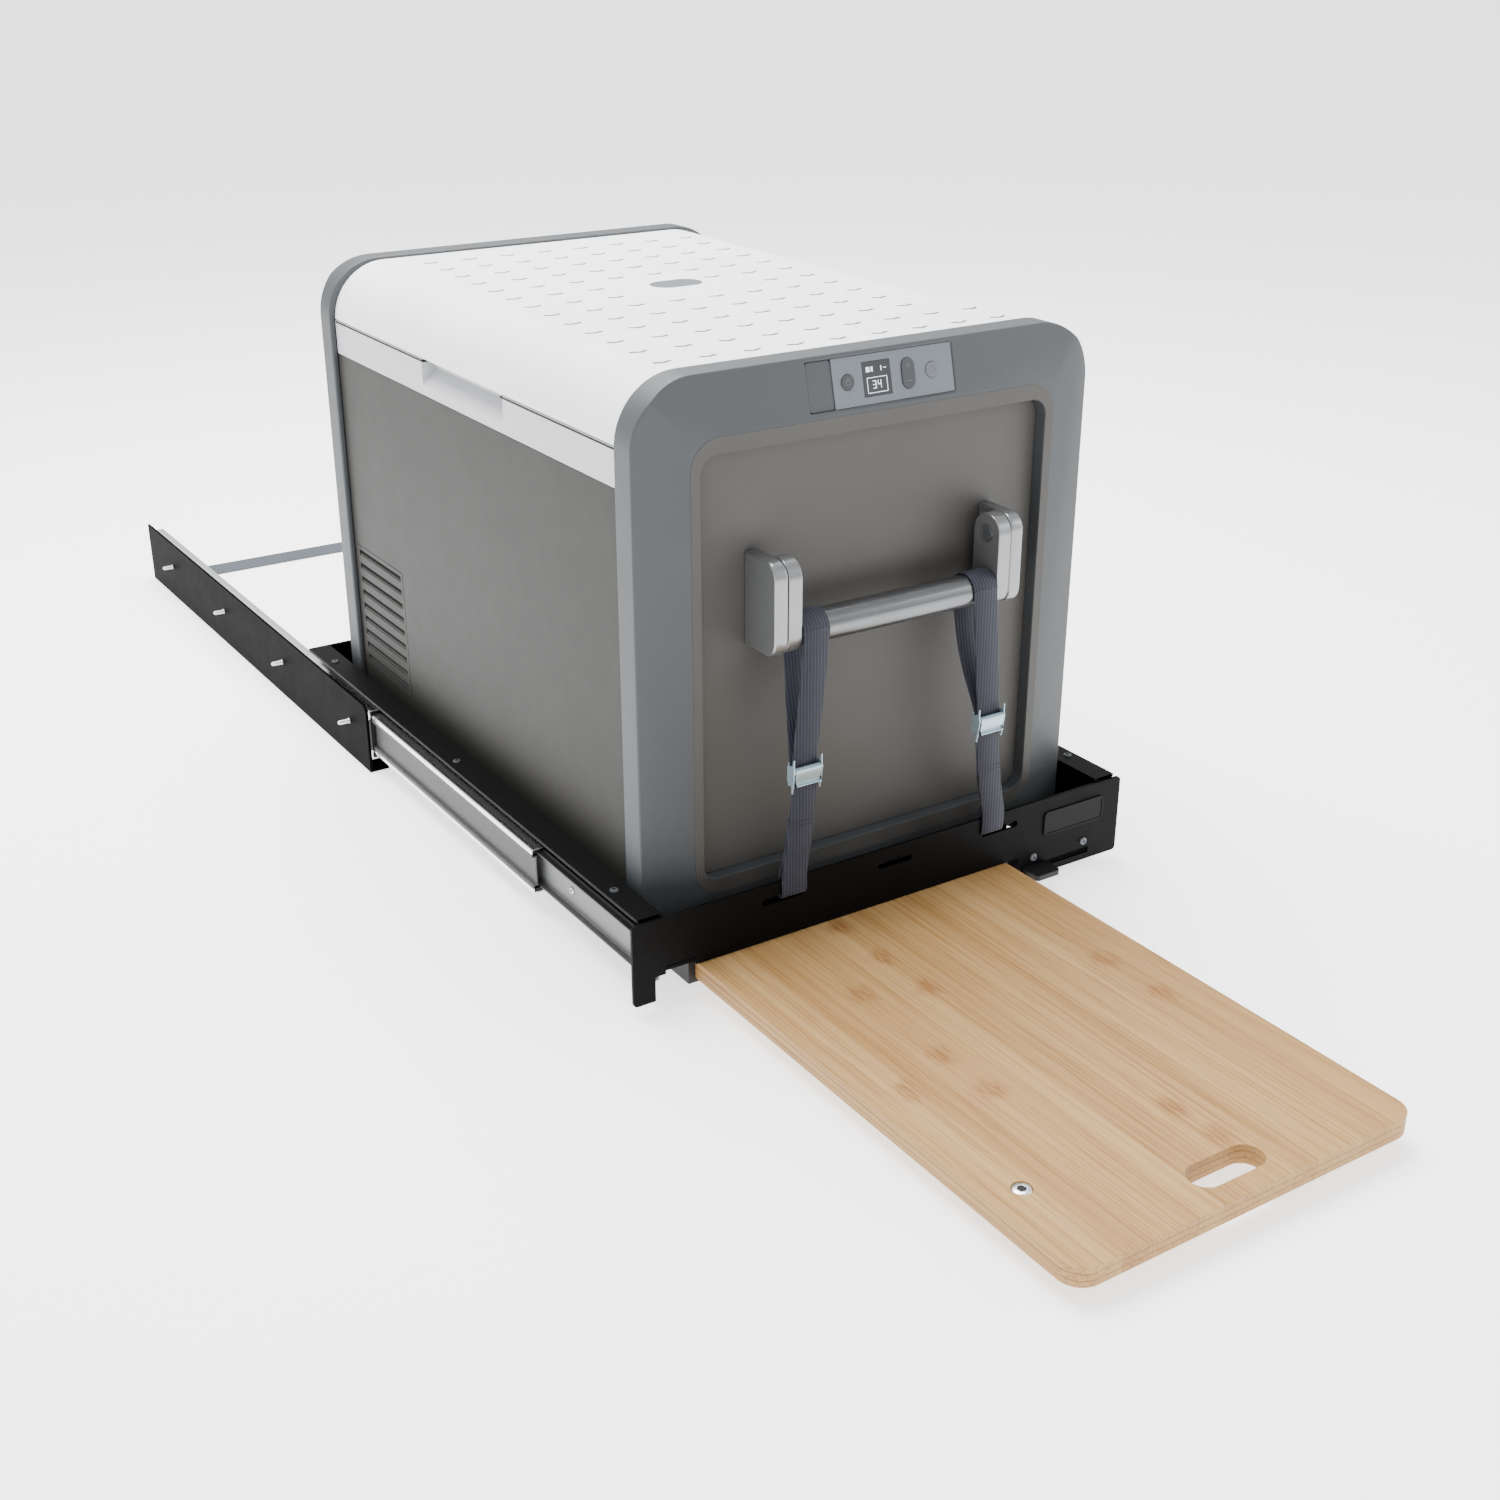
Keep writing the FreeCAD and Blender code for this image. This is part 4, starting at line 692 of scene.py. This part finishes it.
def make_vents():
    """Sloping louvre blades behind each side grille."""
    low, high = span("vent_grilles")
    count = 9
    pitch = (high.z - low.z) / count
    for side, sign in (("left", -1), ("right", 1)):
        mesh = bmesh.new()
        for step in range(count):
            base = low.z + pitch * step + 4
            outer, inner = sign * 221.4, sign * 213.0
            outline = [(outer, base + 0.2), (inner, base + 6.4), (inner, base + 7.8), (outer, base + 1.6)]
            add_prism(mesh, outline, low.y + 5, high.y - 5, "xzy")
        backing = bmesh.new()
        add_prism(backing, rounded_outline((low.y + 1, low.z + 1), (high.y - 1, high.z - 1), 1),
                  sign * 211.2, sign * 212.0, "yzx")
        piece(f"vent_mesh_{side}", backing, MATERIALS["black_plastic"], "tray")
        piece(f"louvres_{side}", mesh, MATERIALS["side_panel"], "tray", bevel=0.25)


def make_handle_details():
    """Dark caps with a cross slot over the handles' pivot bolts."""
    high = 345.6
    for end, y in (("front", 18.5), ("rear", 720 - 18.5)):
        mesh = bmesh.new()
        for sign in (-1, 1):
            add_turned(mesh, at(sign * 99.7, y, high), (-sign, 0, 0),
                       [(7.4, 0), (7.4, 0.5), (6.6, 0.9), (6.0, 0.9), (5.6, 0.6)], 40)
            for half_wide, half_tall in ((0.5, 4.2), (4.2, 0.5)):
                cross = rectangle(y, high, half_wide, half_tall)
                add_prism(mesh, cross, sign * 98.8, sign * 99.2, "yzx")
        piece(f"pivot_caps_{end}", mesh, MATERIALS["button_dark"], "tray")


# ---------------------------------------------------------------- straps

TUBE = (15.0, 299.5)
LOOP_RADIUS = 15.2
WEB = 1.5
WEB_WIDE = 25


def make_straps():
    """Both tie-down straps: a loop round the handle tube down to the buckle, and a sewn lower loop."""
    for side, sign, top, buckle, slot_x in (("left", -1, 87, 98, 107), ("right", 1, 87, 96, 108)):
        top_x, buckle_x, low_x = sign * top, sign * buckle, sign * slot_x
        path = [(buckle_x, -0.6, 172), (buckle_x, -0.6, 190), ((top_x + buckle_x) / 2, -0.4, 240)]
        for step in range(11):
            angle = math.radians(190 - 20 * step)
            path.append((top_x, TUBE[0] + LOOP_RADIUS * math.cos(angle),
                         TUBE[1] + LOOP_RADIUS * math.sin(angle)))
        path += [((top_x * 2 + buckle_x) / 3, 20, 240), (buckle_x, 3.2, 190), (buckle_x, 1.4, 172)]
        mesh = bmesh.new()
        add_band(mesh, smooth_path(path, 8), WEB_WIDE, WEB)
        bend = ("tray", "handle_front", at(buckle_x, 0, 200), at(buckle_x, 0, 281))
        piece(f"strap_upper_{side}", mesh, MATERIALS["webbing"], bend, ("tie_down_straps",),
              sharp=70)

        middle_x = (buckle_x + low_x) / 2
        path = [(buckle_x, -0.6, 186), (buckle_x, -0.8, 165), (middle_x, -1.2, 120), (low_x, -1.3, 88),
                (low_x, -1.3, 74), (low_x, -0.6, 69.4), (low_x, 1.5, 67.4), (low_x, 4.2, 69.6),
                (low_x, 4.6, 80), (low_x, 3.4, 92), (low_x - sign, 0.9, 100), (middle_x, 0.6, 122),
                ((buckle_x * 2 + low_x) / 3, 0.7, 140)]
        mesh = bmesh.new()
        add_band(mesh, smooth_path(path, 6), WEB_WIDE, WEB)
        piece(f"strap_lower_{side}", mesh, MATERIALS["webbing"], "tray", sharp=70)

        mesh = bmesh.new()
        face = -1.2 - WEB / 2
        for row in (104, 108, 132, 136):
            centre = low_x + (buckle_x - low_x) * (row - 88) / 77
            for step in range(11):
                x = centre - 10 + step * 2
                stitch = rounded_outline((x, row - 0.25), (x + 1.5, row + 0.25), 0.2, 2)
                add_prism(mesh, stitch, face - 0.12, face + 0.1)
        piece(f"strap_stitches_{side}", mesh, MATERIALS["black_plastic"], "tray")


def make_buckles():
    """Pressed cam buckles: two thin cheeks, a back plate and a lever with a folded lip."""
    cheek = [(-6.4, 195), (-5.0, 195.3), (-3.4, 189.5), (3.8, 187.5), (3.8, 172.5), (-1.9, 171),
             (-2.3, 164.4), (-3.7, 163.8), (-5.4, 171), (-6.2, 178), (-7.2, 184), (-6.2, 189)]
    lever = [(-3.4, 187), (-5.4, 187.3), (-7.6, 186), (-8.2, 183.6), (-7.4, 179), (-5.6, 173.4),
             (-6.6, 171.6), (-8.0, 171.2), (-7.8, 172.2), (-4.2, 173.6), (-4.6, 179), (-3.0, 182),
             (-2.6, 185)]
    for side, centre in (("left", -98), ("right", 96)):
        mesh = bmesh.new()
        for edge in (-14.2, 13.2):
            add_prism(mesh, cheek, centre + edge, centre + edge + 1.0, "yzx")
        add_prism(mesh, rounded_outline((centre - 13.4, 168.5), (centre + 13.4, 190), 1.5), 2.6, 3.8)
        add_turned(mesh, at(centre - 14.6, -5.4, 184), (1, 0, 0),
                   [(1.2, 0), (2.0, 0.4), (2.0, 28.8), (1.2, 29.2)], 20)
        piece(f"buckle_frame_{side}", mesh, MATERIALS["pale_steel"], "tray", ("buckle_frames",),
              bevel=0.25)
        mesh = bmesh.new()
        add_prism(mesh, lever, centre - 12.4, centre + 12.4, "yzx")
        piece(f"buckle_lever_{side}", mesh, MATERIALS["pale_steel"], f"cam_{side}", (f"cam_lever_{side}",),
              bevel=0.35)


# ---------------------------------------------------------------- tray and base

def make_badge():
    """A blank badge: a plate with a raised rim and an empty field."""
    low, high = span("blank_badge")
    mesh = bmesh.new()
    add_prism(mesh, rounded_outline((low.x, low.z), (high.x, high.z), 4.5, 8), -0.9, 0)
    outer = rounded_outline((low.x, low.z), (high.x, high.z), 4.5, 8)
    inner = rounded_outline((low.x + 1.6, low.z + 1.6), (high.x - 1.6, high.z - 1.6), 3.0, 8)
    loops = [[mesh.verts.new(at(x, y, z)) for x, z in ring] for ring, y in
             ((outer, -0.9), (outer, low.y), (inner, low.y), (inner, -0.9))]
    add_loop_faces(mesh, loops)
    piece("badge_blank", mesh, BADGE_BLACK, "tray", ("blank_badge",), bevel=0.2)


def make_screws():
    """Screws in the front panel, the flanges and the inner and outer rails."""
    mesh = bmesh.new()
    for x in (161, 222):
        add_pan_screw(mesh, at(x, 0, 27), (0, -1, 0), 3.8, 1.8)
    piece("panel_screw_heads", mesh, MATERIALS["button_light"], "tray", ("tray_screws",))
    mesh = bmesh.new()
    for x in (-248, 248):
        for y in (57, 362, 668):
            add_pan_screw(mesh, at(x, y, 86.9), (0, 0, 1), 3.9, 1.7)
    piece("flange_screw_heads", mesh, MATERIALS["button_dark"], "tray", ("tray_screws",))
    mesh = bmesh.new()
    for sign in (-1, 1):
        for y in (12, 24, 150, 340, 530, 700):
            add_pan_screw(mesh, at(sign * 239, y, 42), (sign, 0, 0), 3.6, 1.6)
    piece("inner_rail_screws", mesh, MATERIALS["stud_steel"], "tray")
    mesh = bmesh.new()
    for sign in (-1, 1):
        for y in (600, 700, 900, 1100, 1270):
            add_pan_screw(mesh, at(sign * 254.5, y, 42), (-sign, 0, 0), 4.2, 1.0)
    piece("outer_rail_screws", mesh, MATERIALS["stud_steel"], "base")


def make_studs():
    """Threaded studs on the base's outer faces, with a chamfered tip and a welded root."""
    mesh = bmesh.new()
    pitch, crest, root = 0.8, 2.5, 2.1
    for sign in (-1, 1):
        for step in range(4):
            rings = [(3.0, 0), (2.9, 0.4), (root, 0.7)]
            reach = 1.0
            while reach < 10.6:
                rings += [(crest, reach + 0.25 * pitch), (crest, reach + 0.4 * pitch),
                          (root, reach + 0.9 * pitch)]
                reach += pitch
            rings += [(root, 11.2), (1.6, 12.0)]
            first = 611.5 if sign < 0 else 621.5
            add_turned(mesh, at(sign * 259.3, first + 199.2 * step, 41.5), (sign, 0, 0), rings, 24)
    piece("threaded_studs", mesh, MATERIALS["stud_steel"], "base", ("mounting_studs",),
          sharp=50)


def make_rail_stops():
    """Black plastic stops in the front ends of the outer and middle rails, and the rear bumpers."""
    for side, sign in (("left", -1), ("right", 1)):
        mesh = bmesh.new()
        for low, high in ((64.9, 67.4), (16.6, 19.1)):
            add_prism(mesh, mirrored_outline(sign, 244, 254, low, high, 0.8), 562.2, 578)
        add_prism(mesh, mirrored_outline(sign, 249.8, 254.2, 29, 55, 1.2), 562.2, 574)
        piece(f"outer_rail_stops_{side}", mesh, MATERIALS["black_plastic"], "base",
              bevel=0.3)
        mesh = bmesh.new()
        for low, high in ((59.6, 62.1), (21.9, 24.4)):
            add_prism(mesh, mirrored_outline(sign, 241.4, 250.6, low, high, 0.8), 200.6, 216)
        piece(f"mid_rail_stops_{side}", mesh, MATERIALS["black_plastic"], f"middle_rail_{side}",
              bevel=0.3)
    mesh = bmesh.new()
    for sign in (-1, 1):
        add_turned(mesh, at(sign * 245, 1288, 47), (0, -1, 0), [(7.5, 0), (7.5, 2), (6.2, 5), (4.0, 6.6)], 28)
    piece("rear_bumpers", mesh, MATERIALS["black_rubber"], "base")


def make_panel_backings():
    """Dark plates behind the front panel's lock and strap slots, and tabs that close the flanges' corners."""
    mesh = bmesh.new()
    add_prism(mesh, rounded_outline((146, 10.5), (236, 31), 1.0, 3), 6.3, 7.6)
    for sign in (-1, 1):
        add_prism(mesh, mirrored_outline(sign, 84, 132, 60, 79, 1.0), 6.4, 7.2)
    piece("lock_slot_backing", mesh, MATERIALS["black_powder_coat"], "tray")
    mesh = bmesh.new()
    for sign in (-1, 1):
        add_prism(mesh, mirrored_outline(sign, 235.5, 257.2, 3.1, 14.2, 0.4, 2), 84.1, 86.8, "xyz")
        add_prism(mesh, mirrored_outline(sign, 235.5, 255.8, 72, 86.7, 0.4, 2), 3.1, 4.3)
    piece("flange_corner_tabs", mesh, MATERIALS["black_powder_coat"], "tray")


def make_board_screw():
    """The board's flush insert with its screw and a dark hexagonal socket."""
    low, high = span("board_stop_screw")
    centre = (low + high) / 2
    mesh = bmesh.new()
    add_pan_screw(mesh, at(centre.x, centre.y, high.z - 3.0), (0, 0, 1), 7.9, 3.0, 0.46)
    add_turned(mesh, at(centre.x, centre.y, high.z - 9.0), (0, 0, 1), [(7.9, 0), (7.9, 6.2)])
    piece("board_insert_screw", mesh, MATERIALS["bare_aluminium"], "board", ("board_stop_screw",),
          bevel=0.2)
    mesh = bmesh.new()
    add_prism(mesh, circle((centre.x, centre.y), 3.5, 6), high.z - 2.2, high.z - 0.8, "xyz")
    piece("board_insert_socket", mesh, MATERIALS["black_plastic"], "board")


def make_socket_pins():
    """Contact pins inside the power inlets."""
    mesh = bmesh.new()
    back = span("power_sockets")[0].y + 1
    for x in (73, 83, 107, 117):
        add_turned(mesh, at(x, back, 130), (0, 1, 0), [(1.7, 0), (1.7, 5.6), (1.0, 6.4)], 16)
    piece("socket_pins", mesh, MATERIALS["stud_steel"], "tray")


# ---------------------------------------------------------------- stage, light and camera

def make_stage():
    """A pale floor, an even sky and four soft lights."""
    floor = bmesh.new()
    bmesh.ops.create_grid(floor, x_segments=2, y_segments=2, size=60)
    data = bpy.data.meshes.new("studio_floor")
    floor.to_mesh(data)
    floor.free()
    item = bpy.data.objects.new("studio_floor", data)
    item.location.z = -0.0005
    bpy.context.scene.collection.objects.link(item)
    surface = Finish("studio_floor", (0.86, 0.86, 0.86), 0.9)
    surface.tint(surface.noise(even(2), 2), 0.01)
    surface.shader.inputs["Emission Color"].default_value = (1, 1, 1, 1)
    surface.shader.inputs["Emission Strength"].default_value = 1.7
    data.materials.append(surface.material)

    world = bpy.data.worlds.new("studio")
    world.use_nodes = True
    world.node_tree.nodes["Background"].inputs["Color"].default_value = (0.97, 0.985, 1.0, 1)
    world.node_tree.nodes["Background"].inputs["Strength"].default_value = 1.0
    bpy.context.scene.world = world
    for name, place, size, power in (("overhead", (-0.1, 0.6, 2.3), 2.0, 215),
                                     ("left_fill", (-2.6, 0.4, 1.5), 2.2, 8),
                                     ("right_rim", (2.2, -1.6, 1.2), 1.4, 30),
                                     ("front_fill", (-0.4, -2.8, 1.7), 1.8, 12)):
        light = bpy.data.lights.new(name, "AREA")
        light.energy = power
        light.size = size
        lamp = bpy.data.objects.new(name, light)
        lamp.location = place
        lamp.rotation_euler = (Vector((0, 0, 0.25)) - Vector(place)).to_track_quat("-Z", "Y").to_euler()
        bpy.context.scene.collection.objects.link(lamp)


def make_camera():
    """The viewpoint: in front on the left, above the lid."""
    data = bpy.data.cameras.new("camera")
    data.sensor_width = 36.0
    data.lens = 45.66
    camera = bpy.data.objects.new("camera", data)
    camera.location = at(-908.8, -1167.4, 841.3)
    camera.rotation_euler = Euler((math.radians(90 - 24.316), 0, math.radians(-32.99)))
    bpy.context.scene.collection.objects.link(camera)
    bpy.context.scene.camera = camera


make_camera()
make_stage()
finish_nodes()
make_lid_marks()
make_lid_shadow_line()
make_face_rings()
make_display()
make_button_marks()
make_control_flap()
make_vents()
make_handle_details()
make_straps()
make_buckles()
make_badge()
make_screws()
make_studs()
make_rail_stops()
make_panel_backings()
make_board_screw()
make_socket_pins()
